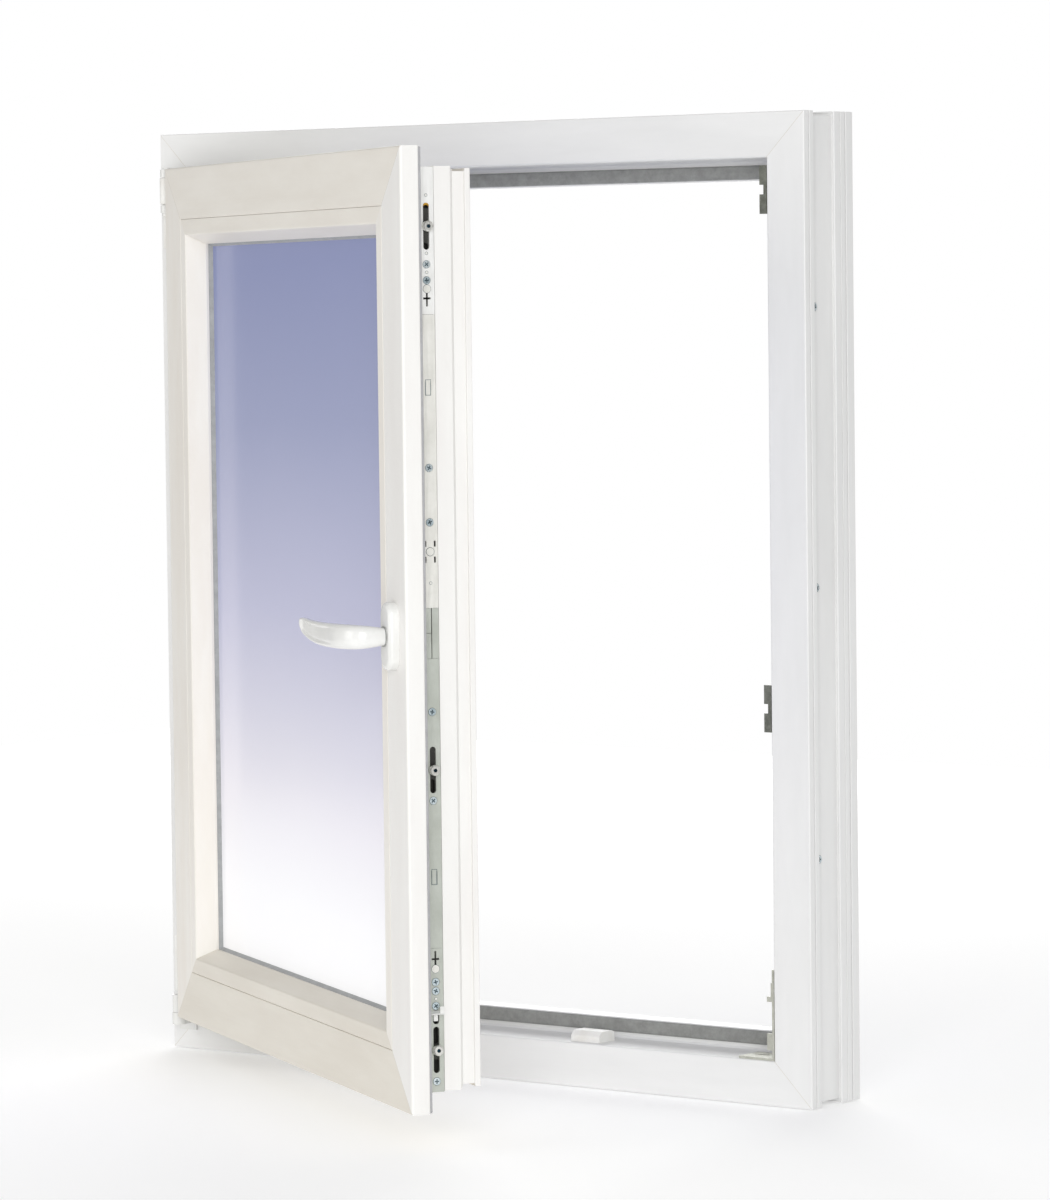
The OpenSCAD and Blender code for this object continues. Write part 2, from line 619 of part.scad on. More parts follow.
// Slot along z with round ends, cut through the faceplate
module plate_slot(z0, z1, r) {
  for (z = [z0 + r, z1 - r]) translate([-1, groove_v, z]) rotate([0, 90, 0]) cylinder(r = r, h = plate_t + 3);
  translate([-1, groove_v - r, z0 + r]) cube([plate_t + 3, 2 * r, z1 - z0 - 2 * r]);
}
module plate_hole(z, r) {
  translate([-1, groove_v, z]) rotate([0, 90, 0]) cylinder(r = r, h = plate_t + 3);
}
module plate_cuts() {
  for (z = cam_zs) plate_slot(z - rod_travel - 5.5, z + rod_travel + 5.5, 3.2);
  for (z = [961, 903, 573]) plate_hole(z, 1.6);
  for (z = [858, 194]) {
    translate([-1, groove_v - 1, z - 8]) cube([plate_t + 3, 2, 16]);
    translate([-1, groove_v - 4, z - 1]) cube([plate_t + 3, 8, 2]);
  }
  for (z = [768, 276]) translate([-1, groove_v - 3.5, z - 7]) cube([1.6, 7, 14]);
  plate_hole(604.5, 4.5);
  for (s = [-1, 1]) for (t = [-1, 1])
    translate([-1, groove_v + s * 5 - 1, 604.5 + t * 8 - 3]) cube([plate_t + 3, 2, 6]);
  plate_slot(128, 143, 3.4);
}
module faceplate_top() { plate_piece(0); }
module faceplate_upper() { plate_piece(1); }
module faceplate_gearbox() { plate_piece(2); }
module faceplate_lower() { plate_piece(3); }
module faceplate_bottom() { plate_piece(4); }
module hardware_screws() {
  color("silver") in_sash() at_hardware_screws() countersunk(hardware_head_r, shank_r, hardware_len);
}

// Gearbox under the faceplate, open on the rod's side
module gearbox_case() {
  color("silver") in_sash() difference() {
    lock_edge() translate([5.6, groove_v - 5.8, handle_z - case_h / 2]) cube([23, 11.6, case_h]);
    handle_axis() translate([0, groove_v - 10, 0]) rotate([-90, 0, 0]) cylinder(r = 6.1, h = 20);
    handle_axis() translate([0, groove_v - 3, 0]) rotate([-90, 0, 0]) cylinder(r = 12.8, h = 6);
    at_rose_screws() translate([0, 0, -44]) cylinder(r = rose_screw_r + 0.1, h = 46);
  }
}
// Strip on the sash head's edge with the slot that the stay arm's pin slides in
module stay_rail() {
  x0 = axis_x + arm_len;
  color("gainsboro") in_sash() difference() {
    translate([x0 - rail_len / 2, plate_v0, body_top - plate_t])
      cube([rail_len, plate_v1 - plate_v0, plate_t]);
    for (s = [-1, 1]) translate([x0 + s * 12, groove_v, body_top - 5]) cylinder(r = rail_slot_r, h = 8);
    translate([x0 - 12, groove_v - rail_slot_r, body_top - 5]) cube([24, 2 * rail_slot_r, 8]);
  }
}
// Band on the flange's hinge edge that hangs the sash on the corner pivot
module corner_band() {
  color("white") in_sash() difference() {
    translate([-sash_w / 2 - band_t, 1.5, 46]) cube([band_t - touch, 16.5, 62]);
    translate([-sash_w / 2 - 5, axis_y - sash_v0, tilt_z]) rotate([0, 90, 0]) cylinder(r = 3.05, h = 6);
    at_band_screws() countersunk_hole(band_head_r, band_shank_r, band_len + 1);
  }
}
module band_screws() {
  color("silver") in_sash() at_band_screws() countersunk(band_head_r, band_shank_r, band_len);
}

// ---- handle ----
module rose_layer(inset, radius, thick) {
  low = [-rose_w / 2 + inset, -rose_h / 2 + inset];
  linear_extrude(height = thick) polygon(rounded(box_pts(low, -low, radius), 8));
}
module handle_rose() {
  color("white") in_sash() handle_axis() difference() {
    translate([0, -touch, 0]) rotate([90, 0, 0]) union() {
      rose_layer(0, 12, rose_t - 2.5);
      rose_layer(2, 10.5, rose_t);
    }
    translate([0, -20, 0]) rotate([-90, 0, 0]) cylinder(r = neck_r + 0.3, h = 30);
    for (s = [-1, 1]) translate([0, -rose_t + 1.5, s * rose_screw_z]) rotate([-90, 0, 0]) {
      cylinder(r = 4.6, h = rose_t - 3.6);
      cylinder(r = rose_screw_r + 0.1, h = rose_t);
    }
  }
}
module rose_screws() {
  color("silver") in_sash() at_rose_screws() {
    translate([0, 0, 0.1]) cylinder(r = 4.2, h = 2.5);
    translate([0, 0, -40]) cylinder(r = rose_screw_r, h = 40.2);
  }
}
module handle_spindle() {
  color("silver") in_sash() handle_axis() translate([-spindle_a / 2, -32, -spindle_a / 2])
    cube([spindle_a, 32 + groove_v + 5.5, spindle_a]);
}
// Square hole that takes the spindle
module spindle_hole(y0, len) {
  a = spindle_a + 0.1;
  translate([-a / 2, y0, -a / 2]) cube([a, len, a]);
}
// Gear that the spindle turns, in mesh with the windows of the drive rod
module gear_follower() {
  color("gray") in_sash() handle_axis() difference() {
    translate([0, groove_v, 0]) rotate([-90, 0, 0]) union() {
      translate([0, 0, -5.7]) cylinder(r = 6, h = 11.4);
      translate([0, 0, -2.5]) cylinder(r = 9.6, h = 5);
      for (i = [0:tooth_n - 1]) rotate([0, 0, i * 360 / tooth_n]) translate([0, 0, -2.5])
        linear_extrude(height = 5) polygon([[9, -1.5], [12, -0.7], [12, 0.7], [9, 1.5]]);
    }
    spindle_hole(groove_v - 10, 20);
  }
}
// Stations of the grip, from the neck to the tip: [along, off the rose, above the axis, radius]
function grip_points() = [[0, 32, 0, 11], [35, 39, 0.5, 9.5], [85, 42, 3, 8.5], [grip_len - 7, 44, 9, 6.5]];
module grip_ball(p) {
  translate([-p[0], -rose_t - p[1], p[2]]) sphere(r = p[3], $fn = 32);
}
module handle_lever() {
  stations = grip_points();
  color("white") in_sash() handle_axis() difference() {
    union() {
      translate([0, -rose_t - 32, 0]) rotate([-90, 0, 0]) cylinder(r = neck_r, h = rose_t + 31);
      for (i = [0:len(stations) - 2]) hull() {
        grip_ball(stations[i]);
        grip_ball(stations[i + 1]);
      }
    }
    spindle_hole(-33, 60);
  }
}

// ---- drive rod ----
module drive_rod() {
  color("silver") in_sash() lock_edge() difference() {
    translate([rod_u, groove_v - rod_w / 2, 92]) cube([rod_t, rod_w, 856]);
    for (s = rod_slots) rod_slot(s[0] - rod_travel - 3.5, s[1] + rod_travel + 3.5, 2.7);
    for (i = [-7:7]) translate([rod_u - 1, groove_v - 3, handle_z + i * tooth_pitch - 1.9])
      cube([rod_t + 2, 6, 3.8]);
    for (z = cam_zs)
      translate([rod_u - 1, groove_v, z]) rotate([0, 90, 0]) cylinder(r = cam_shank_r, h = rod_t + 2);
  }
}
module rod_slot(z0, z1, r) {
  for (z = [z0 + r, z1 - r])
    translate([rod_u - 1, groove_v, z]) rotate([0, 90, 0]) cylinder(r = r, h = rod_t + 2);
  translate([rod_u - 1, groove_v - r, z0 + r]) cube([rod_t + 2, 2 * r, z1 - z0 - 2 * r]);
}
// Cams that stand out of the faceplate's slots and lock behind the keepers
module locking_cams() {
  color("silver") in_sash() lock_edge() for (z = cam_zs) translate([0, groove_v, z]) rotate([0, 90, 0]) {
    translate([0, 0, 0.3]) cylinder(r = cam_shank_r - touch, h = rod_u + rod_t - 0.3);
    translate([0, 0, -2]) cylinder(r = 3, h = 4.78);
    translate([0, 0, -7.5]) cylinder(r = 5.5, h = 6.8);
  }
}
// Sprung lever that blocks the gear while the sash is open
module lockout_lever() {
  color("silver") in_sash() lock_edge() translate([1.2, groove_v, lever_z]) rotate([90, 0, 0]) {
    translate([0, 0, -2.4]) cylinder(r = 1.1, h = 4.8);
    translate([0, 0, -2.4]) linear_extrude(height = 4.8)
      polygon(rounded([[0.9, 0.6], [-1.1, 0.6], [-6.2, -8, 1.2], [-4.6, -11, 1.2], [0.9, -9, 0.5]]));
  }
}

frame_sill();
frame_head();
frame_jamb_hinge();
frame_jamb_lock();
frame_steels();
frame_seal();
reinforcement_screws();
keeper_upper();
keeper_middle();
keeper_corner();
keeper_screws();
runup_block();
corner_bearing();
corner_cover();
stay_bearing();
stay_cover();
stay_pin();
bearing_screws();
drain_caps();
corner_pivot();
stay_arm();
stay_slider();
sash_sill();
sash_head();
sash_stile_hinge();
sash_stile_lock();
sash_steels();
overlap_seal();
pane_inner();
pane_outer();
spacer_bar();
edge_sealant();
glazing_packers();
glazing_seal_outer();
glazing_seal_inner();
bead_bottom();
bead_top();
bead_hinge();
bead_lock();
faceplate_top();
faceplate_upper();
faceplate_gearbox();
faceplate_lower();
faceplate_bottom();
hardware_screws();
gearbox_case();
stay_rail();
corner_band();
band_screws();
handle_rose();
rose_screws();
drive_rod();
locking_cams();
gear_follower();
handle_spindle();
handle_lever();
lockout_lever();
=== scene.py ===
"""Looks of a tilt-and-turn window: uPVC bars, glazing, seals, zinc-plated gear and a lever handle."""
import json
import math

import bmesh
import bpy
from mathutils import Matrix, Vector


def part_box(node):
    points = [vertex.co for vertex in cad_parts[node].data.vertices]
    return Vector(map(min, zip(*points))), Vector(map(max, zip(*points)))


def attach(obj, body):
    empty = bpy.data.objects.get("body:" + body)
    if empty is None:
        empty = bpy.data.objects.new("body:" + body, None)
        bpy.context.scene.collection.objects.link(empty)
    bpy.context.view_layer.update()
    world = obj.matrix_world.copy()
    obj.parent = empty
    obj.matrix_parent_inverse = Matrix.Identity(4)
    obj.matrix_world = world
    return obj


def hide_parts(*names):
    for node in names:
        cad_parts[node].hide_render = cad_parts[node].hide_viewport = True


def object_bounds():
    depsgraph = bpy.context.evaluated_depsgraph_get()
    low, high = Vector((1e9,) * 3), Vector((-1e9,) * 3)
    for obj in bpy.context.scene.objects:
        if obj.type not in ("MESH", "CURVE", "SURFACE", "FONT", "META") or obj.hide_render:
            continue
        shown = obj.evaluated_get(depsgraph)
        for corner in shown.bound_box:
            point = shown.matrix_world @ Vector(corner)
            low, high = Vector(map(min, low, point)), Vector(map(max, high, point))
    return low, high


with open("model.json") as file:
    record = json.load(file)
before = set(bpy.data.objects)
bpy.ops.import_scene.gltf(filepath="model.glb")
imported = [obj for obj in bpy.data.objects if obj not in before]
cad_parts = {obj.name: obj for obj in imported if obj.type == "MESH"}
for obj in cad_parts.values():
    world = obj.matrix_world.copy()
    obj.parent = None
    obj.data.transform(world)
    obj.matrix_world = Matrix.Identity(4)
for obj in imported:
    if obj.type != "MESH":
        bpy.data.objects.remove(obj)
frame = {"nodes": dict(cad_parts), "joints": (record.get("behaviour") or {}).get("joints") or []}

cad_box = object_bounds()
MM = 0.001
nodes = frame["nodes"]
joints = {joint["name"]: joint for joint in frame["joints"]}

# Directions of the open sash, from the joints: along its rails, and out of doors
sash_along = Vector(joints["sash_tilt"]["axis"]).normalized()
sash_out = Vector(joints["handle_turn"]["axis"]).normalized()
sash_turn = math.atan2(sash_along.y, sash_along.x)
hinge_foot = Vector(joints["sash_tilt"]["pos_m"])
handle_foot = Vector(joints["handle_turn"]["pos_m"])
UP = Vector((0, 0, 1))
RIGHT = Vector((1, 0, 0))
OUTDOORS = Vector((0, 1, 0))


# ---------------------------------------------------------------- camera and light
CAMERA_PLACE = (3.5096, -4.6095, 0.8469)
CAMERA_LENS = 156.77  # mm on a 36 mm sensor
CAMERA_YAW, CAMERA_PITCH, CAMERA_ROLL = 37.152, -3.194, 0.673  # degrees


def set_camera():
    camera = bpy.data.objects.new("camera", bpy.data.cameras.new("camera"))
    bpy.context.scene.collection.objects.link(camera)
    camera.data.lens = CAMERA_LENS
    camera.data.sensor_width = 36.0
    camera.data.clip_end = 100.0
    turns = zip((CAMERA_YAW, CAMERA_PITCH, CAMERA_ROLL, 90), ("Z", "X", "Y", "X"))
    place = Matrix.Translation(CAMERA_PLACE)
    for angle, axis in turns:
        place = place @ Matrix.Rotation(math.radians(angle), 4, axis)
    camera.matrix_world = place
    bpy.context.scene.camera = camera


def area_light(name, place, target, size, power, tint=(1, 1, 1)):
    light = bpy.data.lights.new(name, "AREA")
    light.shape = "RECTANGLE"
    light.size, light.size_y = size
    light.energy = power
    light.color = tint
    lamp = bpy.data.objects.new(name, light)
    bpy.context.scene.collection.objects.link(lamp)
    lamp.location = place
    aim = Vector(target) - Vector(place)
    lamp.rotation_euler = aim.to_track_quat("-Z", "Y").to_euler()


ROOM_GLOW = 0.46  # what the white walls give; they are seen as pure white


def set_studio():
    scene = bpy.context.scene
    scene.view_settings.view_transform = "Standard"
    world = bpy.data.worlds.new("soft_white_room")
    scene.world = world
    world.use_nodes = True
    tree = world.node_tree
    background = tree.nodes["Background"]
    background.inputs["Color"].default_value = (1.0, 1.0, 1.0, 1)
    seen = add(tree, "ShaderNodeLightPath").outputs["Is Camera Ray"]
    strength = add(tree, "ShaderNodeMapRange", {"Value": seen, "To Min": ROOM_GLOW, "To Max": 1.0})
    tree.links.new(strength.outputs[0], background.inputs["Strength"])
    middle = (0, -0.1, 0.5)  # what the lights face
    area_light("key_softbox", (3.4, -4.3, 1.5), middle, (3.0, 3.0), 138, (0.99, 0.995, 1.0))
    area_light("fill_softbox", (-2.2, -3.6, 1.2), middle, (2.2, 2.2), 25, (1.0, 0.975, 0.93))
    area_light("back_softbox", (-2.5, 4.5, 2.0), middle, (3.5, 3.0), 110)


# ---------------------------------------------------------------- materials
def linear(hex_code):
    """sRGB hex to linear RGBA."""
    codes = [int(hex_code[i:i + 2], 16) / 255 for i in (1, 3, 5)]
    return tuple(c / 12.92 if c <= 0.04045 else ((c + 0.055) / 1.055) ** 2.4 for c in codes) + (1,)


def add(tree, kind, inputs=None, **settings):
    """Adds a node with its settings. inputs holds values, sockets to join, or nodes (their first output)."""
    made = tree.nodes.new(kind)
    for name, value in settings.items():
        setattr(made, name, value)
    for socket, value in (inputs or {}).items():
        if isinstance(value, bpy.types.Node):
            value = value.outputs[0]
        if isinstance(value, bpy.types.NodeSocket):
            tree.links.new(value, made.inputs[socket])
        else:
            made.inputs[socket].default_value = value
    return made


def new_material(name):
    """An empty node material: its tree, its shader and its object coordinates."""
    material = bpy.data.materials.new(name)
    material.use_nodes = True
    tree = material.node_tree
    shader = tree.nodes["Principled BSDF"]
    place = add(tree, "ShaderNodeTexCoord").outputs["Object"]
    return material, tree, shader, place


def stretched(tree, place, turn, scale):
    """Coordinates turned to lie along the sash and stretched, so a noise becomes drawn-out streaks."""
    turned = add(tree, "ShaderNodeMapping", {"Vector": place, "Rotation": (0, 0, -turn)})
    return add(tree, "ShaderNodeMapping", {"Vector": turned, "Scale": scale}).outputs[0]


def mixed(tree, factor, low, high):
    """A colour between two hex codes."""
    blend = add(tree, "ShaderNodeMix", data_type="RGBA")
    blend.inputs["A"].default_value = linear(low)
    blend.inputs["B"].default_value = linear(high)
    tree.links.new(factor, blend.inputs["Factor"])
    return blend.outputs["Result"]


def ranged(tree, value, low, high, start=0.35, end=0.65):
    """Spreads the middle of a noise over a range of values."""
    return add(tree, "ShaderNodeMapRange", {
        "Value": value, "From Min": start, "From Max": end, "To Min": low, "To Max": high}).outputs[0]


def bumped(tree, shader, height, depth_mm, strength=1.0):
    bump = add(tree, "ShaderNodeBump", {"Height": height, "Distance": depth_mm * MM, "Strength": strength})
    tree.links.new(bump.outputs[0], shader.inputs["Normal"])


def surfaced(tree, shader, tone, gloss, relief, depth_mm, strength=1.0, **fixed):
    """Joins a shader to its colour, roughness and relief. fixed holds the sockets that stay even."""
    tree.links.new(tone, shader.inputs["Base Color"])
    tree.links.new(gloss, shader.inputs["Roughness"])
    for socket, value in fixed.items():
        shader.inputs[socket.replace("_", " ")].default_value = value
    bumped(tree, shader, relief.outputs["Fac"], depth_mm, strength)


def extruded_upvc(name, pale, deep, turn, upright, gloss=0.36, groove=None):
    """uPVC profile, drawn through a die and calibrated: faint lines run along the bar under a satin gloss,
    with the cloudy whiteness of the compound. upright bars have their lines along Z. groove is where shade
    is painted into the bar, dark inside the gear's groove: its reach along the sash and its depth through
    it, in metres."""
    material, tree, shader, place = new_material(name)
    along, across = 3.0, 700.0  # one streak is about 1.4 mm wide and a third of a metre long
    lines_scale = (across, across, along) if upright else (along, across, across)
    lines = add(tree, "ShaderNodeTexNoise", {
        "Vector": stretched(tree, place, turn, lines_scale), "Scale": 1.0, "Detail": 3.0})
    clouds_scale = (26.0, 26.0, 5.0) if upright else (5.0, 26.0, 26.0)
    clouds = add(tree, "ShaderNodeTexNoise", {
        "Vector": stretched(tree, place, turn, clouds_scale), "Scale": 1.0, "Detail": 4.0,
        "Roughness": 0.6})
    tone = mixed(tree, ranged(tree, clouds, 0.0, 1.0), pale, deep)
    if groove:
        tone = painted_groove_shade(tree, place, tone, groove)
    satin = ranged(tree, lines, gloss - 0.02, gloss + 0.03)
    surfaced(tree, shader, tone, satin, lines, 0.004, 0.5, IOR=1.5)
    return material


def painted_groove_shade(tree, place, tone, groove):
    """Paints shade into a colour inside the gear's groove: a dark mottled tone stands in for the shade
    there.
    """
    inside = None
    for direction, (start, end) in zip((sash_along, sash_out), groove):
        reach = add(tree, "ShaderNodeVectorMath", {0: place, 1: direction}, operation="DOT_PRODUCT")
        for value, sense in ((start, "GREATER_THAN"), (end, "LESS_THAN")):
            test = add(tree, "ShaderNodeMath", {0: reach.outputs["Value"], 1: value}, operation=sense)
            if inside:
                test = add(tree, "ShaderNodeMath", {0: inside, 1: test}, operation="MULTIPLY")
            inside = test.outputs[0]
    shade_mottle = add(tree, "ShaderNodeTexNoise", {"Vector": place, "Scale": 300.0, "Detail": 4.0})
    # painted shade: a dark mottled tone that stands in for the shade deep in the groove
    groove_shade_tone = mixed(tree, shade_mottle.outputs["Fac"], "#34332f", "#1f1e1c")
    blend = add(tree, "ShaderNodeMix", data_type="RGBA")
    for socket, value in (("Factor", inside), ("A", tone), ("B", groove_shade_tone)):
        tree.links.new(value, blend.inputs[socket])
    return blend.outputs["Result"]


def gear_groove():
    """The groove behind the faceplate, as its reach along the sash and through it."""
    plate = nodes["faceplate_upper"].data.vertices
    along = [vert.co.dot(sash_along) for vert in plate]
    through = [vert.co.dot(sash_out) for vert in plate]
    back = min(along) + 0.05 * MM
    return (back - 30 * MM, back), (min(through) + 0.6 * MM, max(through) - 0.6 * MM)


def plated_steel(name, pale, deep, rough=0.32, grain=(900.0, 900.0, 30.0), metal=0.9):
    """Zinc-plated sheet steel: bright satin metal with rolling lines and the passivation's cloudy tint."""
    material, tree, shader, place = new_material(name)
    rolled = add(tree, "ShaderNodeTexNoise", {
        "Vector": stretched(tree, place, sash_turn, grain), "Scale": 1.0, "Detail": 2.0})
    tint = add(tree, "ShaderNodeTexNoise", {
        "Vector": place, "Scale": 38.0, "Detail": 5.0, "Roughness": 0.65})
    tone = mixed(tree, ranged(tree, tint, 0.0, 1.0, 0.3, 0.7), pale, deep)
    satin = ranged(tree, rolled, rough - 0.06, rough + 0.12)
    surfaced(tree, shader, tone, satin, rolled, 0.02, Metallic=metal)
    return material


def speckled(name, pale, deep, blotch, grain, gloss, depth_mm, **fixed):
    """A skin with blotches of tone, and a fine grain that sets its roughness and relief. blotch holds a
    noise's scale, detail and roughness, grain a noise's scale, gloss the least and greatest roughness."""
    material, tree, shader, place = new_material(name)
    scale, detail, rough = blotch
    cloud = add(tree, "ShaderNodeTexNoise", {
        "Vector": place, "Scale": scale, "Detail": detail, "Roughness": rough})
    grit = add(tree, "ShaderNodeTexNoise", {"Vector": place, "Scale": grain, "Detail": 2.0})
    tone = mixed(tree, ranged(tree, cloud, 0.0, 1.0), pale, deep)
    surfaced(tree, shader, tone, ranged(tree, grit, *gloss), grit, depth_mm, **fixed)
    return material


def cast_zinc(name, pale, deep):
    """Die-cast zinc with a dull passivated skin: small pits and blotches from the mould."""
    return speckled(name, pale, deep, (120.0, 5.0, 0.7), 1300.0, (0.42, 0.6), 0.05, Metallic=0.75)


def moulded_nylon(name, pale, deep):
    """Injection-moulded nylon: an even white with a soft spark-eroded texture."""
    return speckled(name, pale, deep, (55.0, 3.0, 0.5), 1600.0, (0.36, 0.5), 0.04, IOR=1.53)


def extruded_rubber(name, pale, deep):
    """EPDM seal, extruded and cured: matt and slightly chalky, with a fine grain."""
    return speckled(name, pale, deep, (90.0, 5.0, 0.7), 1500.0, (0.6, 0.78), 0.05, Sheen_Weight=0.15)


def powder_coat(name, pale, deep):
    """White polyester powder coat on cast metal: glossy, with a very fine orange peel."""
    material, tree, shader, place = new_material(name)
    peel = add(tree, "ShaderNodeTexNoise", {"Vector": place, "Scale": 900.0, "Detail": 1.0})
    handled = add(tree, "ShaderNodeTexNoise", {"Vector": place, "Scale": 30.0, "Detail": 4.0})
    tone = mixed(tree, ranged(tree, handled, 0.0, 1.0), pale, deep)
    shine = ranged(tree, handled, 0.16, 0.26)
    surfaced(tree, shader, tone, shine, peel, 0.02, 0.6, IOR=1.5, Coat_Weight=0.4, Coat_Roughness=0.08)
    return material


PAINTED_SKY_STOPS = (  # a painted reflection of a sky: its colour at shares of the pane's height
    (0.0, "#fdfdfe"), (0.13, "#f7f7fa"), (0.26, "#e9e7ef"), (0.52, "#bfc0d8"), (0.78, "#999fc0"),
    (1.0, "#868eb6"))


def float_glass(name, low, high):
    """Float glass with a painted reflection of a sky: violet blue at the top, fading to a bright haze at the
    foot, with the slight ripple that the heat treatment leaves. The same colour also glows faintly, as
    painted light."""
    material, tree, shader, place = new_material(name)
    height = add(tree, "ShaderNodeSeparateXYZ", {"Vector": place}).outputs["Z"]
    drift = add(tree, "ShaderNodeTexNoise", {"Vector": place, "Scale": 2.2, "Detail": 2.0})
    wavy = add(tree, "ShaderNodeMath", {0: drift.outputs["Fac"], 1: 0.05}, operation="MULTIPLY_ADD")
    tree.links.new(height, wavy.inputs[2])
    share = add(tree, "ShaderNodeMapRange", {"Value": wavy, "From Min": low, "From Max": high})
    sky = add(tree, "ShaderNodeValToRGB", {"Fac": share})
    while len(sky.color_ramp.elements) < len(PAINTED_SKY_STOPS):
        sky.color_ramp.elements.new(0.5)
    for element, (position, code) in zip(sky.color_ramp.elements, PAINTED_SKY_STOPS):
        element.position = position
        element.color = linear(code)
    ripple = add(tree, "ShaderNodeTexNoise", {"Vector": place, "Scale": 7.0, "Detail": 1.0})
    # painted reflection and glow: the sky colour is both the base colour and a faint emission
    for socket in ("Base Color", "Emission Color"):
        tree.links.new(sky.outputs["Color"], shader.inputs[socket])
    fixed = {"Emission Strength": 0.14, "Roughness": 0.16, "Specular IOR Level": 0.25, "IOR": 1.52,
             "Alpha": 0.94}
    for socket, value in fixed.items():
        shader.inputs[socket].default_value = value
    bumped(tree, shader, ripple.outputs["Fac"], 0.4, 0.4)
    return material


MATERIALS = {
    "frame_rail": extruded_upvc("frame_upvc_rail", "#ebebea", "#e6e6e5", 0, False),
    "frame_jamb": extruded_upvc("frame_upvc_jamb", "#ebebea", "#e6e6e5", 0, True),
    "sash_rail": extruded_upvc("sash_upvc_rail", "#eeeae2", "#e8e3da", sash_turn, False),
    # The sash's sill and bottom bead are a darker copy of the sash's uPVC: painted shade on the lower rail.
    "sash_rail_painted_shade": extruded_upvc("sash_upvc_rail_painted_shade", "#e3ded3", "#dcd6ca", sash_turn, False),
    "sash_stile": extruded_upvc("sash_upvc_stile", "#eeebe5", "#e9e4dc", sash_turn, True),
    # The lock stile's uPVC is a paler, cooler copy of the sash's: painted light for the lock edge that faces
    # the key light. Shade is painted into its gear groove.
    "lit_lock_stile": extruded_upvc("lock_stile_upvc", "#efeeeb", "#ebe9e6", sash_turn, True,
                                groove=gear_groove()),
    "weld": extruded_upvc("weld_seam_upvc", "#dcd8cf", "#cdc8bd", 0, True, 0.5),
    # The faceplates are one zinc-plated steel in three copies with painted light: the top copy paler as a
    # painted highlight, the low copy darker as painted shade.
    "plate_top": plated_steel("zinc_plate_painted_highlight", "#f4f4f2", "#e9e9e6", 0.38, metal=0.3),
    "plate": plated_steel("zinc_plated_steel", "#efeee8", "#e1e0d9", 0.36, metal=0.4),
    "plate_low": plated_steel("zinc_plate_painted_shade", "#c6cac2", "#b6bab1", 0.38, metal=0.5),
    # The drive rod's dark grey is painted shade of the groove it runs in, as seen through the slots.
    "rod_painted_shade": plated_steel("oiled_dark_steel", "#4b4b47", "#2c2c2a", 0.45, metal=0.6),
    "screw": plated_steel("blue_passivated_steel", "#e6eef0", "#b9cbd2", 0.25),
    # painted shade: dark steel for the gap round screw heads, rivets and pins, and for the hairline round
    # the knock-outs
    "painted_hairline_shade": plated_steel("screw_rim_steel", "#6f8087", "#47565d", 0.35),
    # painted shade: the blue passivation's tint darkened for the inside of screw recesses and cam sockets
    "recess": plated_steel("recess_painted_shade_steel", "#33505f", "#16242c", 0.4),
    "steel": plated_steel("galvanised_steel", "#c3c6c8", "#a3a7ab", 0.42),
    "cam": plated_steel("turned_steel", "#e6e6e2", "#cfcec8", 0.28),
    "brass": plated_steel("yellow_chromate_steel", "#e0ae4a", "#b47f22", 0.3),
    "casting": cast_zinc("die_cast_zinc", "#b9bab8", "#9a9b98"),
    "keeper": cast_zinc("dull_cast_zinc", "#8c8e84", "#6d6f66"),
    "pale_keeper": cast_zinc("pale_cast_zinc", "#cdcec4", "#b9bab0"),
    "coat": powder_coat("white_powder_coat", "#eaeae8", "#e3e3e0"),
    "nylon": moulded_nylon("white_nylon", "#f3f3f0", "#eae8e3"),
    "dark_seal": extruded_rubber("grey_epdm", "#999a97", "#868784"),
    "grey_seal": extruded_rubber("mid_grey_epdm", "#a9abac", "#989a9b"),
    "light_seal": extruded_rubber("light_grey_seal", "#b3b3b6", "#a5a5a7"),
    "sealant": extruded_rubber("black_polysulphide", "#2a2a2c", "#1d1d1f"),
    "packer": moulded_nylon("packer_polypropylene", "#5e7cbf", "#4c69a8"),
    "spacer": plated_steel("mill_aluminium", "#c9cacc", "#b4b5b8", 0.38),
    "glass": float_glass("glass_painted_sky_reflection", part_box("bead_bottom")[1].z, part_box("bead_top")[0].z),
}

CAD_LOOKS = {
    "frame_rail": ("frame_sill", "frame_head"),
    "frame_jamb": ("frame_jamb_hinge", "frame_jamb_lock"),
    "sash_rail": ("sash_head", "bead_top"),
    "sash_rail_painted_shade": ("sash_sill", "bead_bottom"),
    "sash_stile": ("sash_stile_hinge", "bead_hinge", "bead_lock"),
    "lit_lock_stile": ("sash_stile_lock",),
    "plate_top": ("faceplate_top",),
    "plate": ("faceplate_upper", "stay_rail", "stay_arm", "stay_slider"),
    "plate_low": ("faceplate_gearbox", "faceplate_lower", "faceplate_bottom"),
    "rod_painted_shade": ("drive_rod",),
    "cam": ("locking_cams", "lockout_lever"),
    "steel": ("frame_steels", "sash_steels", "handle_spindle"),
    "casting": ("gearbox_case", "gear_follower"),
    "keeper": ("keeper_upper", "keeper_middle"),
    "pale_keeper": ("keeper_corner",),
    "coat": ("corner_bearing", "stay_bearing", "corner_band", "corner_pivot", "stay_pin"),
    "nylon": ("corner_cover", "stay_cover", "runup_block", "drain_caps"),
    "dark_seal": ("frame_seal",),
    "grey_seal": ("glazing_seal_inner", "glazing_seal_outer"),
    "light_seal": ("overlap_seal",),
    "sealant": ("edge_sealant",),
    "packer": ("glazing_packers",),
    "spacer": ("spacer_bar",),
    "glass": ("pane_inner", "pane_outer"),
    "screw": ("hardware_screws", "reinforcement_screws", "keeper_screws", "bearing_screws", "band_screws",
              "rose_screws"),
}
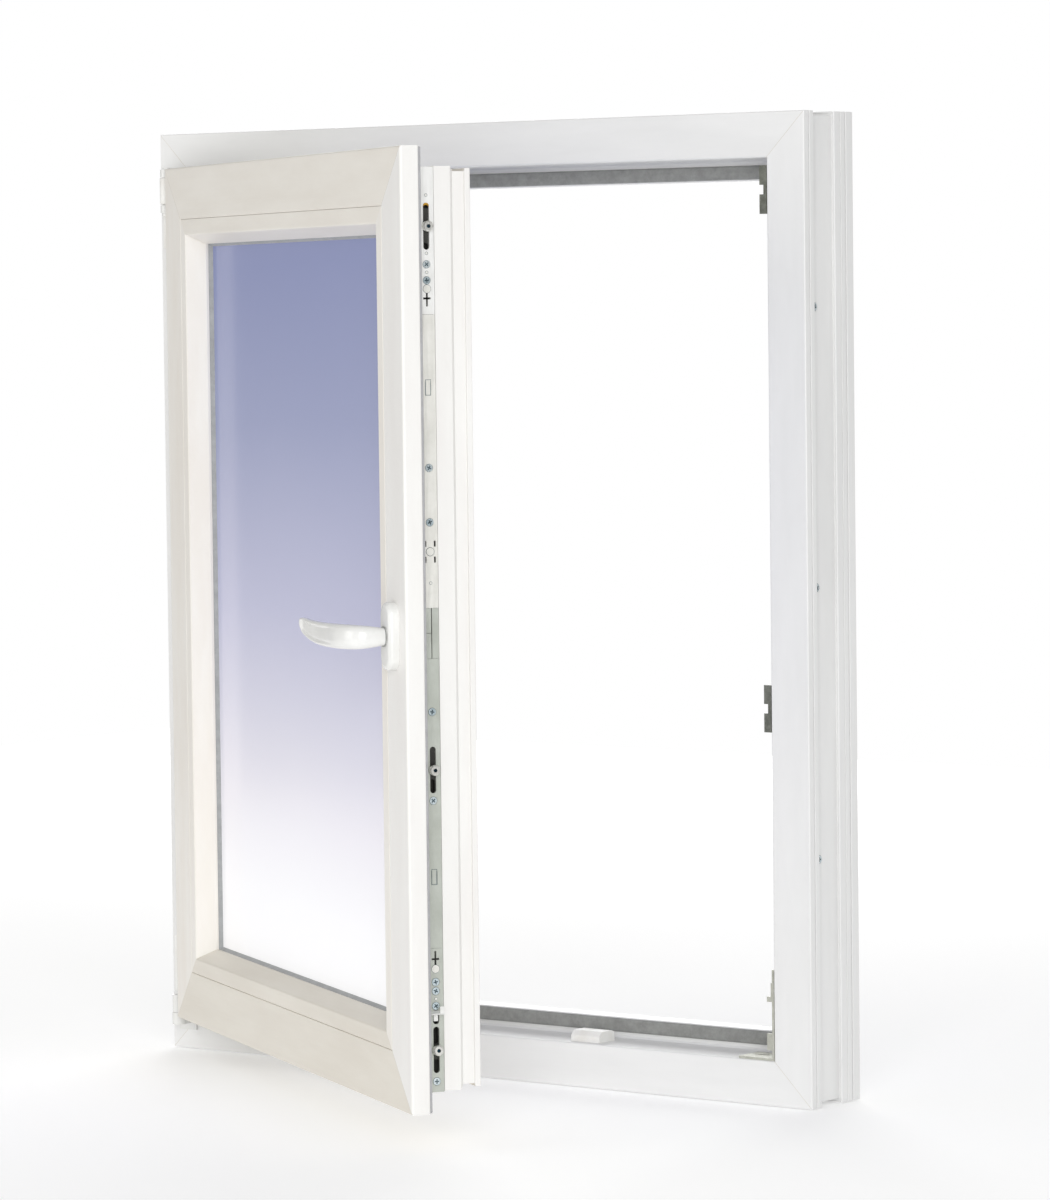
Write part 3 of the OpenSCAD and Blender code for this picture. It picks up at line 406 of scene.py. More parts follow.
SOFT_EDGES = {  # edge rounding in millimetres on cast, moulded and pressed pieces
    "keeper_upper": 0.5, "keeper_middle": 0.5, "keeper_corner": 0.5, "corner_bearing": 0.8,
    "stay_bearing": 0.8, "corner_band": 0.8, "corner_cover": 1.2, "stay_cover": 1.2, "drain_caps": 0.8,
    "stay_arm": 0.4, "corner_pivot": 0.5,
}
SAME_PLACE = 0.00001  # metres within which two corners count as one


def dress_cad():
    for look, names in CAD_LOOKS.items():
        for name in names:
            mesh = nodes[name].data
            mesh.materials.clear()
            mesh.materials.append(MATERIALS[look])
    for name, radius in SOFT_EDGES.items():
        weld = nodes[name].modifiers.new("weld", "WELD")
        weld.merge_threshold = SAME_PLACE
        bevel = nodes[name].modifiers.new("rounding", "BEVEL")
        bevel.width = radius * MM
        bevel.segments = 2
        bevel.angle_limit = math.radians(40)


# ---------------------------------------------------------------- making pieces
def islands(name):
    """The corners of each separate solid of a CAD node."""
    found = bmesh.new()
    found.from_mesh(nodes[name].data)
    bmesh.ops.remove_doubles(found, verts=found.verts, dist=SAME_PLACE)
    left = set(found.verts)
    solids = []
    while left:
        heap = [left.pop()]
        points = []
        while heap:
            vert = heap.pop()
            points.append(vert.co.copy())
            for edge in vert.link_edges:
                other = edge.other_vert(vert)
                if other in left:
                    left.remove(other)
                    heap.append(other)
        solids.append(points)
    found.free()
    return solids


def end_points(name, direction):
    """Where each solid of a node ends in a direction, on the solid's own middle line."""
    ends = []
    for points in islands(name):
        reach = max(point.dot(direction) for point in points)
        face = [point for point in points if point.dot(direction) > reach - 0.2 * MM]
        lows = Vector([min(point[i] for point in face) for i in range(3)])
        highs = Vector([max(point[i] for point in face) for i in range(3)])
        ends.append((lows + highs) / 2)
    return sorted(ends, key=lambda point: point.z)


def piece(name, mesh, body, look, replaced=(), smooth=35):
    """A finished piece: its object at the origin, riding on its body."""
    shown = bpy.data.objects.new(name, mesh)
    bpy.context.scene.collection.objects.link(shown)
    if look:
        mesh.materials.clear()
        mesh.materials.append(MATERIALS[look])
    if smooth:
        mesh.shade_smooth()
        mesh.set_sharp_from_angle(angle=math.radians(smooth))
    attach(shown, body)
    if replaced:
        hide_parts(*replaced)
    return shown


def lofted(built, rings):
    """Skins a row of rings of corners and closes both ends."""
    for low, high in zip(rings, rings[1:]):
        for i in range(len(low)):
            j = (i + 1) % len(low)
            built.faces.new((low[i], low[j], high[j], high[i]))
    built.faces.new(rings[0])
    built.faces.new(rings[-1])


def mesh_from(name, built):
    bmesh.ops.recalc_face_normals(built, faces=built.faces)
    mesh = bpy.data.meshes.new(name)
    built.to_mesh(mesh)
    built.free()
    return mesh


def evaluated(holder):
    """The plain mesh that a working object's modifiers make; the object is removed."""
    bpy.context.view_layer.update()
    graph = bpy.context.evaluated_depsgraph_get()
    mesh = bpy.data.meshes.new_from_object(holder.evaluated_get(graph), depsgraph=graph)
    bpy.data.objects.remove(holder)
    return mesh


def facing(direction, upward=UP):
    """Rotation that turns +Z to a direction and keeps +Y as near upward as it can."""
    z = direction.normalized()
    x = upward.cross(z).normalized()
    return Matrix((x, z.cross(x), z)).transposed().to_euler()


# ---------------------------------------------------------------- geometry nodes
def new_tree(name, numbers, materials, rotations=("Direction",), vectors=()):
    """A tree with named inputs: it, the identifiers of its inputs, and their sockets inside it."""
    tree = bpy.data.node_groups.new(name, "GeometryNodeTree")
    tree.interface.new_socket("Geometry", in_out="INPUT", socket_type="NodeSocketGeometry")
    sockets = {}
    kinds = {"Float": numbers, "Rotation": rotations, "Vector": vectors, "Material": materials}
    for kind, labels in kinds.items():
        for label in labels:
            made = tree.interface.new_socket(label, in_out="INPUT", socket_type="NodeSocket" + kind)
            if kind == "Float":
                made.default_value = numbers[label]
            sockets[label] = made.identifier
    tree.interface.new_socket("Geometry", in_out="OUTPUT", socket_type="NodeSocketGeometry")
    return tree, sockets, add(tree, "NodeGroupInput").outputs


def close_tree(tree, geometry):
    real = add(tree, "GeometryNodeRealizeInstances", {"Geometry": geometry})
    add(tree, "NodeGroupOutput", {0: real})


def place_on_points(tree, given, instance, rotation):
    """Puts the instance on every point of the mesh that comes in, and ends the tree."""
    cloud = add(tree, "GeometryNodeMeshToPoints", {"Mesh": given["Geometry"]})
    placed = add(tree, "GeometryNodeInstanceOnPoints", {
        "Points": cloud, "Instance": instance, "Rotation": rotation})
    close_tree(tree, placed)


def run_tree(name, tree, sockets, values, points):
    """Runs a tree on a cloud of points and gives the plain mesh."""
    cloud = bpy.data.meshes.new(name + "_points")
    cloud.from_pydata([tuple(point) for point in points], [], [])
    holder = bpy.data.objects.new(name + "_holder", cloud)
    bpy.context.scene.collection.objects.link(holder)
    modifier = holder.modifiers.new("nodes", "NODES")
    modifier.node_group = tree
    for label, value in values.items():
        modifier[sockets[label]] = value
    return evaluated(holder)


def cross_head_tree():
    """A screw head on every point: a dished or domed disc with a cross recess cut in it. The recess is
    painted dark as its shade, and a dark ring round the head paints the shade of the gap it sits in.
    """
    tree, sockets, given = new_tree("cross_head_screws", {
        "Head Radius": 4.3 * MM, "Head Height": 2.4 * MM, "Neck Radius": 2.0 * MM,
        "Recess Length": 4.6 * MM, "Recess Width": 1.25 * MM, "Recess Depth": 1.5 * MM,
        "Rim Radius": 4.3 * MM, "Rim Height": 0.9 * MM, "Twist": 0.6,
    }, ("Metal", "Recess Shade Metal", "Rim Shade Metal"))
    head = add(tree, "GeometryNodeMeshCone", {
        "Vertices": 40, "Side Segments": 3, "Fill Segments": 1,
        "Radius Top": given["Head Radius"], "Radius Bottom": given["Neck Radius"],
        "Depth": given["Head Height"]})
    painted_head = add(tree, "GeometryNodeSetMaterial", {
        "Geometry": head, "Material": given["Metal"]})
    rim = add(tree, "GeometryNodeMeshCylinder", {
        "Vertices": 40, "Radius": given["Rim Radius"], "Depth": given["Rim Height"]})
    painted_rim = add(tree, "GeometryNodeSetMaterial", {
        "Geometry": rim, "Material": given["Rim Shade Metal"]})
    arms = []
    for order in (("Recess Length", "Recess Width"), ("Recess Width", "Recess Length")):
        size = add(tree, "ShaderNodeCombineXYZ", {
            "X": given[order[0]], "Y": given[order[1]], "Z": given["Recess Depth"]})
        arms.append(add(tree, "GeometryNodeMeshCube", {"Size": size}).outputs[0])
    cross = add(tree, "GeometryNodeMeshBoolean", operation="UNION", solver="EXACT")
    for arm in arms:
        tree.links.new(arm, cross.inputs["Mesh 2"])
    painted_cross = add(tree, "GeometryNodeSetMaterial", {
        "Geometry": cross, "Material": given["Recess Shade Metal"]})
    raised = add(tree, "ShaderNodeCombineXYZ", {"Z": given["Head Height"]})
    lifted = add(tree, "GeometryNodeTransform", {"Geometry": painted_cross, "Translation": raised})
    cut = add(tree, "GeometryNodeMeshBoolean", {
        "Mesh 1": painted_head, "Mesh 2": lifted}, operation="DIFFERENCE", solver="EXACT")
    sunk = add(tree, "ShaderNodeMath", {0: given["Head Height"], 1: -1.0}, operation="MULTIPLY")
    down = add(tree, "ShaderNodeCombineXYZ", {"Z": sunk})
    seated = add(tree, "GeometryNodeTransform", {"Geometry": cut, "Translation": down})
    rim_low = add(tree, "ShaderNodeMath", {0: given["Rim Height"], 1: -1.0}, operation="MULTIPLY")
    rim_place = add(tree, "ShaderNodeCombineXYZ", {"Z": rim_low})
    rim_seated = add(tree, "GeometryNodeTransform", {
        "Geometry": painted_rim, "Translation": rim_place})
    whole = add(tree, "GeometryNodeJoinGeometry", {"Geometry": seated})
    tree.links.new(rim_seated.outputs[0], whole.inputs["Geometry"])
    number = add(tree, "GeometryNodeInputIndex")
    twist = add(tree, "ShaderNodeMath", {0: number, 1: given["Twist"]}, operation="MULTIPLY")
    spin = add(tree, "ShaderNodeCombineXYZ", {"Z": twist})
    turned = add(tree, "FunctionNodeRotateRotation", {
        "Rotation": given["Direction"], "Rotate By": spin}, rotation_space="LOCAL")
    place_on_points(tree, given, whole, turned)
    return tree, sockets


def screw_rows():
    """Every visible screw of the window, one piece for each row of equal screws."""
    tree, sockets = cross_head_tree()
    looks = {"Metal": "screw", "Recess Shade Metal": "recess", "Rim Shade Metal": "painted_hairline_shade"}
    metals = {label: MATERIALS[look] for label, look in looks.items()}
    rows = [  # name, the CAD screws, where their heads face, body, radius and height of the head
        ("hardware_screw_heads", "hardware_screws", sash_along, "sash", 4.3, 2.4),
        ("keeper_screw_heads", "keeper_screws", -RIGHT, "frame", 4.0, 2.2),
        ("bearing_screw_heads", "bearing_screws", -OUTDOORS, "frame", 4.0, 2.1),
        ("band_screw_heads", "band_screws", -sash_along, "sash", 3.8, 2.1),
        ("lock_jamb_screw_heads", "reinforcement_screws", RIGHT, "frame", 4.6, 2.0),
        ("hinge_jamb_screw_heads", "reinforcement_screws", -RIGHT, "frame", 4.6, 2.0),
    ]
    done = set()
    for name, source, direction, body, radius, height in rows:
        ends = end_points(source, direction)
        if source == "reinforcement_screws":
            ends = [end for end in ends if end.dot(direction) > 0]
        mesh = run_tree(name, tree, sockets, {
            "Head Radius": (radius - 0.5) * MM, "Rim Radius": radius * MM, "Head Height": height * MM,
            "Neck Radius": radius / 2 * MM, "Recess Length": radius * 1.1 * MM,
            "Direction": facing(direction), **metals}, ends)
        piece(name, mesh, body, None, () if source in done else (source,))
        done.add(source)


# ---------------------------------------------------------------- handle
def superellipse(width, thick, power, count):
    """Points of a rounded section: width across z, thickness across the other way."""
    ring = []
    for i in range(count):
        angle = 2 * math.pi * i / count
        c, s = math.cos(angle), math.sin(angle)
        ring.append((math.copysign(abs(c) ** (2 / power), c) * thick / 2,
                     math.copysign(abs(s) ** (2 / power), s) * width / 2))
    return ring


def eased(values, share):
    """Smooth value at a share of the way through evenly spaced stations."""
    spot = share * (len(values) - 1)
    i = min(int(spot), len(values) - 2)
    t = spot - i
    before, after = values[max(i - 1, 0)], values[min(i + 2, len(values) - 1)]
    a, b = values[i], values[i + 1]
    return 0.5 * (2 * a + (b - before) * t + (2 * before - 5 * a + 4 * b - after) * t * t
                  + (3 * a - before - 3 * b + after) * t ** 3)


# Stations along the lever from its neck to its tip, in millimetres
LEVER_BACK = (0, 0, 0, 4, 22, 48, 75, 98, 117, 131)             # towards the hinges
LEVER_STAND = (4, 14, 26, 38, 47, 50.5, 52.5, 54, 55, 55.5)      # off the sash's face
LEVER_TOP = (9, 9.1, 11, 12.2, 12.5, 12.3, 12.2, 12.8, 14.4, 16.5)   # its upper edge above the axis
LEVER_FOOT = (-9, -9.1, -11, -12.2, -12.5, -12.4, -11.2, -8, -2.5, 4.5)  # its lower edge
LEVER_THICK = (18, 18.2, 20, 20, 16.5, 14, 13, 12, 11, 9)
LEVER_LINE = (LEVER_BACK, LEVER_STAND)
HOLLOW_DEPTH = 3.4  # the scoop for the thumb on the room side
HOLLOW_RIM = 0.80   # share of the lever's height that the scoop takes


def lever_point(back, stand, rise):
    return handle_foot - sash_along * back * MM - sash_out * stand * MM + UP * rise * MM


def soft_step(value, start, end):
    t = min(max((value - start) / (end - start), 0), 1)
    return t * t * (3 - 2 * t)


def make_lever():
    """Lever drawn as one bar that turns from the neck into a grip, scooped out along its room side."""
    built = bmesh.new()
    rings = []
    steps, count, tip_steps = 110, 96, 16
    for k in range(steps + 1):
        share = k / steps
        back, stand, top, foot = (eased(row, share) for row in LEVER_LINE + (LEVER_TOP, LEVER_FOOT))
        near = max(share - 0.01, 0), min(share + 0.01, 1)
        run = Vector([eased(row, near[1]) - eased(row, near[0]) for row in LEVER_LINE]).normalized()
        over = max(k - steps + tip_steps, 0) / tip_steps
        shrink = math.sqrt(max(1 - over ** 2.2, 0.0025))
        rise, width = (top + foot) / 2, (top - foot) * shrink
        thick = eased(LEVER_THICK, share) * shrink
        scoop = HOLLOW_DEPTH * soft_step(share, 0.42, 0.72) * (1 - soft_step(share, 0.90, 0.955))
        ring = []
        for across, height in superellipse(width, thick, 2.6, count):
            edge = abs(2 * height / width)
            if across > 0:
                across -= scoop * (1 - soft_step(edge, HOLLOW_RIM - 0.25, HOLLOW_RIM))
            ring.append(built.verts.new(lever_point(
                back - run.y * across, stand + run.x * across, rise + height)))
        rings.append(ring)
    lofted(built, rings)
    mesh = mesh_from("handle_lever_white", built)
    piece("handle_lever_white", mesh, "handle", "coat", ("handle_lever",), 60)
    # A grey ring round the neck, just off the rose: painted shade of the gap between lever and rose.
    ring_profile = [(9.6, 11.3), (10.3, 11.5), (10.3, 12.3), (9.6, 12.5)]
    neck = turned("handle_neck_gap_shade_ring", ring_profile, handle_foot, -sash_out)
    piece("handle_neck_gap_shade_ring", neck, "handle", "dark_seal", ())


def turned(name, profile, foot, axis, count=48):
    """A solid of revolution. profile holds radius and height in millimetres, from the foot along an axis."""
    frame_turn = facing(axis, Vector((0.3, 0.1, 1))).to_matrix()
    built = bmesh.new()
    rings = []
    for radius, height in profile:
        ring = []
        for i in range(count):
            angle = 2 * math.pi * i / count
            spot = Vector((radius * math.cos(angle), radius * math.sin(angle), height)) * MM
            ring.append(built.verts.new(foot + frame_turn @ spot))
        rings.append(ring)
    lofted(built, rings)
    return mesh_from(name, built)


def cap_profile(radius, low, high, soft):
    """Outline of a plain round cap with softened ends."""
    rise = [(radius - soft * (1 - math.sin(t)), low + soft * (1 - math.cos(t)))
            for t in [math.radians(a) for a in (0, 30, 60, 90)]]
    return rise + [(r, low + high - h) for r, h in reversed(rise)]


def make_hinge_sleeve():
    """White plastic sleeve that hides the stay arm's eye."""
    foot = Vector((hinge_foot.x, hinge_foot.y, 0))
    mesh = turned("stay_arm_sleeve", cap_profile(7.6, 970.2, 999.8, 1.2), foot, UP)
    piece("stay_arm_sleeve", mesh, "stay", "nylon", ())


def make_rose():
    """Rose: a tall rounded plate with a soft shoulder."""
    built = bmesh.new()
    outline = []
    half_w, half_h, corner, count = 14.5, 34.5, 13.0, 10
    for cx, cz, start in ((1, 1, 0), (-1, 1, 90), (-1, -1, 180), (1, -1, 270)):
        for i in range(count + 1):
            angle = math.radians(start + 90 * i / count)
            outline.append((cx * (half_w - corner) + corner * math.cos(angle),
                            cz * (half_h - corner) + corner * math.sin(angle)))
    layers = [(0.0, 0.0)]
    shoulder, thick = 5.0, 10.8
    for i in range(9):
        angle = math.radians(90 * i / 8)
        layers.append((shoulder * (1 - math.cos(angle)), thick - shoulder + shoulder * math.sin(angle)))
    rings = []
    for inset, stand in layers:
        ring = []
        for x, z in outline:
            fx, fz = (half_w - inset) / half_w, (half_h - inset) / half_h
            flat = sash_along * x * fx * MM - sash_out * stand * MM + UP * z * fz * MM
            ring.append(built.verts.new(handle_foot + flat))
        rings.append(ring)
    lofted(built, rings)
    mesh = mesh_from("handle_rose_white", built)
    piece("handle_rose_white", mesh, "sash", "coat", ("handle_rose",), 50)


# ---------------------------------------------------------------- locking cams
def cam_tree():
    """A mushroom cam on every point: disc, chamfer, waist and a hexagon socket painted dark as its shade."""
    tree, sockets, given = new_tree("locking_cams", {
        "Radius": 5.5 * MM, "Height": 6.0 * MM, "Socket Radius": 2.2 * MM}, ("Metal", "Socket Shade Metal"))
    profile = add(tree, "GeometryNodeCurvePrimitiveLine", {"Start": (0, 0, 0), "End": (0, 0, 1)})
    stations = add(tree, "GeometryNodeResampleCurve", {"Curve": profile, "Count": 12})
    swell = add(tree, "ShaderNodeFloatCurve", {"Value": add(tree, "GeometryNodeSplineParameter")})
    points = ((0.0, 0.62), (0.22, 0.62), (0.30, 0.86), (0.42, 0.98), (0.82, 1.0), (0.93, 0.93), (1.0, 0.78))
    curve = swell.mapping.curves[0]
    curve.points[0].location = points[0]
    curve.points[1].location = points[-1]
    for spot in points[1:-1]:
        curve.points.new(*spot)
    swell.mapping.update()
    circle = add(tree, "GeometryNodeCurvePrimitiveCircle", {"Resolution": 36, "Radius": given["Radius"]})
    scaled = add(tree, "GeometryNodeSetCurveRadius", {"Curve": stations, "Radius": swell})
    solid = add(tree, "GeometryNodeCurveToMesh", {
        "Curve": scaled, "Profile Curve": circle, "Scale": swell, "Fill Caps": True})
    tall = add(tree, "ShaderNodeCombineXYZ", {"X": 1.0, "Y": 1.0, "Z": given["Height"]})
    body = add(tree, "GeometryNodeTransform", {"Geometry": solid, "Scale": tall})
    painted = add(tree, "GeometryNodeSetMaterial", {"Geometry": body, "Material": given["Metal"]})
    socket = add(tree, "GeometryNodeMeshCylinder", {
        "Vertices": 6, "Radius": given["Socket Radius"], "Depth": given["Height"]})
    socket_painted = add(tree, "GeometryNodeSetMaterial", {
        "Geometry": socket, "Material": given["Socket Shade Metal"]})
    raised = add(tree, "ShaderNodeCombineXYZ", {"Z": given["Height"]})
    lifted = add(tree, "GeometryNodeTransform", {"Geometry": socket_painted, "Translation": raised})
    cut = add(tree, "GeometryNodeMeshBoolean", {
        "Mesh 1": painted, "Mesh 2": lifted}, operation="DIFFERENCE", solver="EXACT")
    place_on_points(tree, given, cut, given["Direction"])
    return tree, sockets


CAM_HEIGHT = 7.4  # millimetres


def make_cams():
    tree, sockets = cam_tree()
    height = CAM_HEIGHT * MM
    feet = [end - sash_along * height for end in end_points("locking_cams", sash_along)]
    mesh = run_tree("mushroom_cams", tree, sockets, {
        "Height": height, "Direction": facing(sash_along),
        "Metal": MATERIALS["cam"], "Socket Shade Metal": MATERIALS["recess"]}, feet)
    piece("mushroom_cams", mesh, "rod", None, ("locking_cams",))


# ---------------------------------------------------------------- faceplate details
def plate_face():
    """A point on the faceplate's outer face, on its middle line, at z = 0."""
    verts = nodes["faceplate_upper"].data.vertices
    along = max(vert.co.dot(sash_along) for vert in verts)
    through = [vert.co.dot(sash_out) for vert in verts]
    return sash_along * along + sash_out * (min(through) + max(through)) / 2


RIVET_HEIGHTS = (867.5, 604.5, 184.0)
PIN_HEIGHTS = (961.0, 903.0, 884.0, 573.0, 153.8)


def stud_tree():
    """A flat, faintly domed stud on every point, standing in a dark ring of painted shade."""
    tree, sockets, given = new_tree("plate_studs", {
        "Radius": 4.5 * MM, "Height": 0.3 * MM, "Ring Radius": 4.9 * MM, "Ring Height": 0.1 * MM,
        "Depth": 0.8 * MM}, ("Metal", "Ring Metal"))
    whole = add(tree, "GeometryNodeJoinGeometry")
    for part in ("", "Ring "):
        radius = given[part + "Radius"]
        tall = add(tree, "ShaderNodeMath", {0: given["Depth"], 1: given[part + "Height"]}, operation="ADD")
        flare = add(tree, "ShaderNodeMath", {0: radius, 1: 0.93}, operation="MULTIPLY")
        disc = add(tree, "GeometryNodeMeshCone", {
            "Vertices": 32, "Radius Top": flare, "Radius Bottom": radius, "Depth": tall})
        painted = add(tree, "GeometryNodeSetMaterial", {
            "Geometry": disc, "Material": given[part + "Metal"]})
        low = add(tree, "ShaderNodeMath", {0: given["Depth"], 1: -1.0}, operation="MULTIPLY")
        down = add(tree, "ShaderNodeCombineXYZ", {"Z": low})
        seated = add(tree, "GeometryNodeTransform", {"Geometry": painted, "Translation": down})
        tree.links.new(seated.outputs[0], whole.inputs["Geometry"])
    place_on_points(tree, given, whole, given["Direction"])
    return tree, sockets


def make_studs():
    """Flat rivet heads and small pin ends that hold the faceplates to the gear behind them."""
    tree, sockets = stud_tree()
    face = plate_face()
    rows = [("faceplate_rivets", RIVET_HEIGHTS, 4.3, 0.3), ("faceplate_pins", PIN_HEIGHTS, 1.4, 0.15)]
    for name, heights, radius, proud in rows:
        mesh = run_tree(name, tree, sockets, {
            "Radius": radius * MM, "Height": proud * MM, "Ring Radius": (radius + 0.35) * MM,
            "Direction": facing(sash_along),
            "Metal": MATERIALS["plate"], "Ring Metal": MATERIALS["painted_hairline_shade"]},
            [face + UP * height * MM for height in heights])
        piece(name, mesh, "sash", None, ())


def extruded(name, outline, low, high, foot, across, up, normal):
    """A flat outline of (across, up) millimetres given a thickness from low to high along its normal."""
    built = bmesh.new()
    rings = [[built.verts.new(foot + (across * x + up * y + normal * depth) * MM) for x, y in outline]
             for depth in (low, high)]
    lofted(built, rings)
    return mesh_from(name, built)


def make_stop_insert():
    """Yellow stop at the upper end of the top cam's slot, a crescent clear of the cam's travel."""
    slot_end, slot_radius, cam_end, cam_radius = 950.3, 3.1, 948.0, 3.3
    over = [math.radians(a) for a in range(25, 156, 10)]
    outline = [(slot_radius * math.cos(a), slot_end + slot_radius * math.sin(a)) for a in over]
    outline += [(cam_radius * math.cos(a), cam_end + cam_radius * math.sin(a)) for a in reversed(over)]
    mesh = extruded("slot_stop_insert", outline, -2.4, -0.15, plate_face(), sash_out, UP, sash_along)
    piece("slot_stop_insert", mesh, "sash", "brass", ())


PUNCH_HEIGHTS = (769.0, 277.0)


def make_punch_marks():
    """Oblong knock-outs in the faceplate, drawn as a hairline of painted shade round each."""
    built = bmesh.new()
    face = plate_face()
    wide, tall, line, proud = 5.4, 15.5, 0.45, 0.06
    for height in PUNCH_HEIGHTS:
        for x, y, w, h in ((0, tall / 2, wide, line), (0, -tall / 2, wide, line),
                           (wide / 2, 0, line, tall + line), (-wide / 2, 0, line, tall + line)):
            outline = [(x + a * w / 2, y + b * h / 2) for a, b in ((-1, -1), (1, -1), (1, 1), (-1, 1))]
            bar = extruded("bar", outline, -0.4, proud, face + UP * height * MM, sash_out, UP, sash_along)
            built.from_mesh(bar)
            bpy.data.meshes.remove(bar)
    mesh = mesh_from("faceplate_knock_outs", built)
    piece("faceplate_knock_outs", mesh, "sash", "painted_hairline_shade", ())


def bent_strip(name, outline, width, thick, foot, along, across, up):
    """Sheet bent along an outline of (across, up) millimetres and extruded over a width."""
    built = bmesh.new()
    rings = []
    count = len(outline)
    for k, (x, z) in enumerate(outline):
        before = Vector(outline[max(k - 1, 0)])
        after = Vector(outline[min(k + 1, count - 1)])
        run = (after - before).normalized()
        normal = Vector((-run.y, run.x))
        ring = []
        for side, off in ((-0.5, -0.5), (0.5, -0.5), (0.5, 0.5), (-0.5, 0.5)):
            spot = Vector((x, z)) + normal * off * thick
            aside = along * spot.x * MM + up * spot.y * MM + across * side * width * MM
            ring.append(built.verts.new(foot + aside))
        rings.append(ring)
    lofted(built, rings)
    return mesh_from(name, built)


def make_lockout_tab():
    """Sprung tab of the handle block: a bent plate across the faceplate, with a small flag on it."""
    foot = Vector(joints["lever_press"]["pos_m"])
    strips = [
        ([(-0.4, 0.5), (0.9, -0.4), (2.6, -1.4), (4.6, -2.2), (6.2, -2.5), (7.4, -1.9)], 13.5, 1.2, 0),
        ([(-0.5, 0.8), (-0.6, -3.0), (-0.7, -7.0), (-0.4, -10.0)], 4.6, 1.5, 0),
        ([(6.3, -2.4), (6.9, 0.6), (7.0, 3.4), (6.6, 5.4)], 4.2, 0.8, 4.4),
    ]
    built = bmesh.new()
    for outline, width, thick, aside in strips:
        middle = foot + sash_out * aside * MM
        strip = bent_strip("strip", outline, width, thick, middle, sash_along, sash_out, UP)
        built.from_mesh(strip)
        bpy.data.meshes.remove(strip)
    piece("lockout_tab", mesh_from("lockout_tab", built), "lockout", "plate_top",
          ("lockout_lever",), 30)


# ---------------------------------------------------------------- gaskets
GASKET_SIDES = 48  # corners round the section of a seal


def gasket_tree():
    """A ribbed bulb seal swept round a rectangle, mitred at its corners, with a notch cut out of it."""
    tree, sockets, given = new_tree("swept_gasket", {
        "Span": 0.8, "Rise": 1.0, "Seal Width": 8 * MM, "Seal Height": 3 * MM,
        "Ribs": 8.0, "Rib Depth": 0.03, "Fullness": 0.6,
    }, ("Rubber",), vectors=("Place", "Notch Size", "Notch Place"))
    sums = {"number": add(tree, "GeometryNodeInputIndex")}
    for name, operation, terms in (  # each line is a sum of those above it
            ("angle", "MULTIPLY", ("number", 2 * math.pi / GASKET_SIDES)),
            ("wave", "MULTIPLY", ("angle", given["Ribs"])),
            ("rib", "COSINE", ("wave",)),
            ("sunk", "ADD", ("rib", -1.0)),
            ("reach", "MULTIPLY_ADD", ("sunk", given["Rib Depth"], 1.0)),
            ("up", "SINE", ("angle",)),
            ("above", "MAXIMUM", ("up", 0.0)),
            ("full", "POWER", ("above", given["Fullness"])),
            ("low", "MULTIPLY", (given["Seal Height"], math.sqrt(0.5))),
            ("rise", "MULTIPLY", ("full", "low")),
            ("ribbed", "MULTIPLY", ("rise", "reach")),
            ("half", "MULTIPLY", (given["Seal Width"], 0.5)),
            ("side", "COSINE", ("angle",)),
            ("across", "MULTIPLY", ("side", "half"))):
        values = [sums[term] if isinstance(term, str) else term for term in terms]
        sums[name] = add(tree, "ShaderNodeMath", dict(enumerate(values)), operation=operation)
    spot = add(tree, "ShaderNodeCombineXYZ", {"X": sums["across"], "Y": sums["ribbed"]})
    circle = add(tree, "GeometryNodeCurvePrimitiveCircle", {"Resolution": GASKET_SIDES, "Radius": 1.0})
    profile = add(tree, "GeometryNodeSetPosition", {"Geometry": circle, "Position": spot})
    path = add(tree, "GeometryNodeCurvePrimitiveQuadrilateral", {
        "Width": given["Span"], "Height": given["Rise"]})
    # A corner's section lies on the mitre, so it is root two as wide; its height is cut by as much above.
    swept = add(tree, "GeometryNodeCurveToMesh", {
        "Curve": path, "Profile Curve": profile, "Scale": math.sqrt(2)})
    notch = add(tree, "GeometryNodeMeshCube", {"Size": given["Notch Size"]})
    moved = add(tree, "GeometryNodeTransform", {"Geometry": notch, "Translation": given["Notch Place"]})
    cut = add(tree, "GeometryNodeMeshBoolean", {
        "Mesh 1": swept, "Mesh 2": moved}, operation="DIFFERENCE", solver="EXACT")
    stood = add(tree, "GeometryNodeTransform", {
        "Geometry": cut, "Translation": given["Place"], "Rotation": given["Direction"]})
    painted = add(tree, "GeometryNodeSetMaterial", {"Geometry": stood, "Material": given["Rubber"]})
    close_tree(tree, painted)
    return tree, sockets


NOTCH_FOOT = 0.972  # height above the floor where the stay arm's notch starts, in metres
SINK = 0.08  # millimetres that a swept seal sits back from the CAD seal's tip


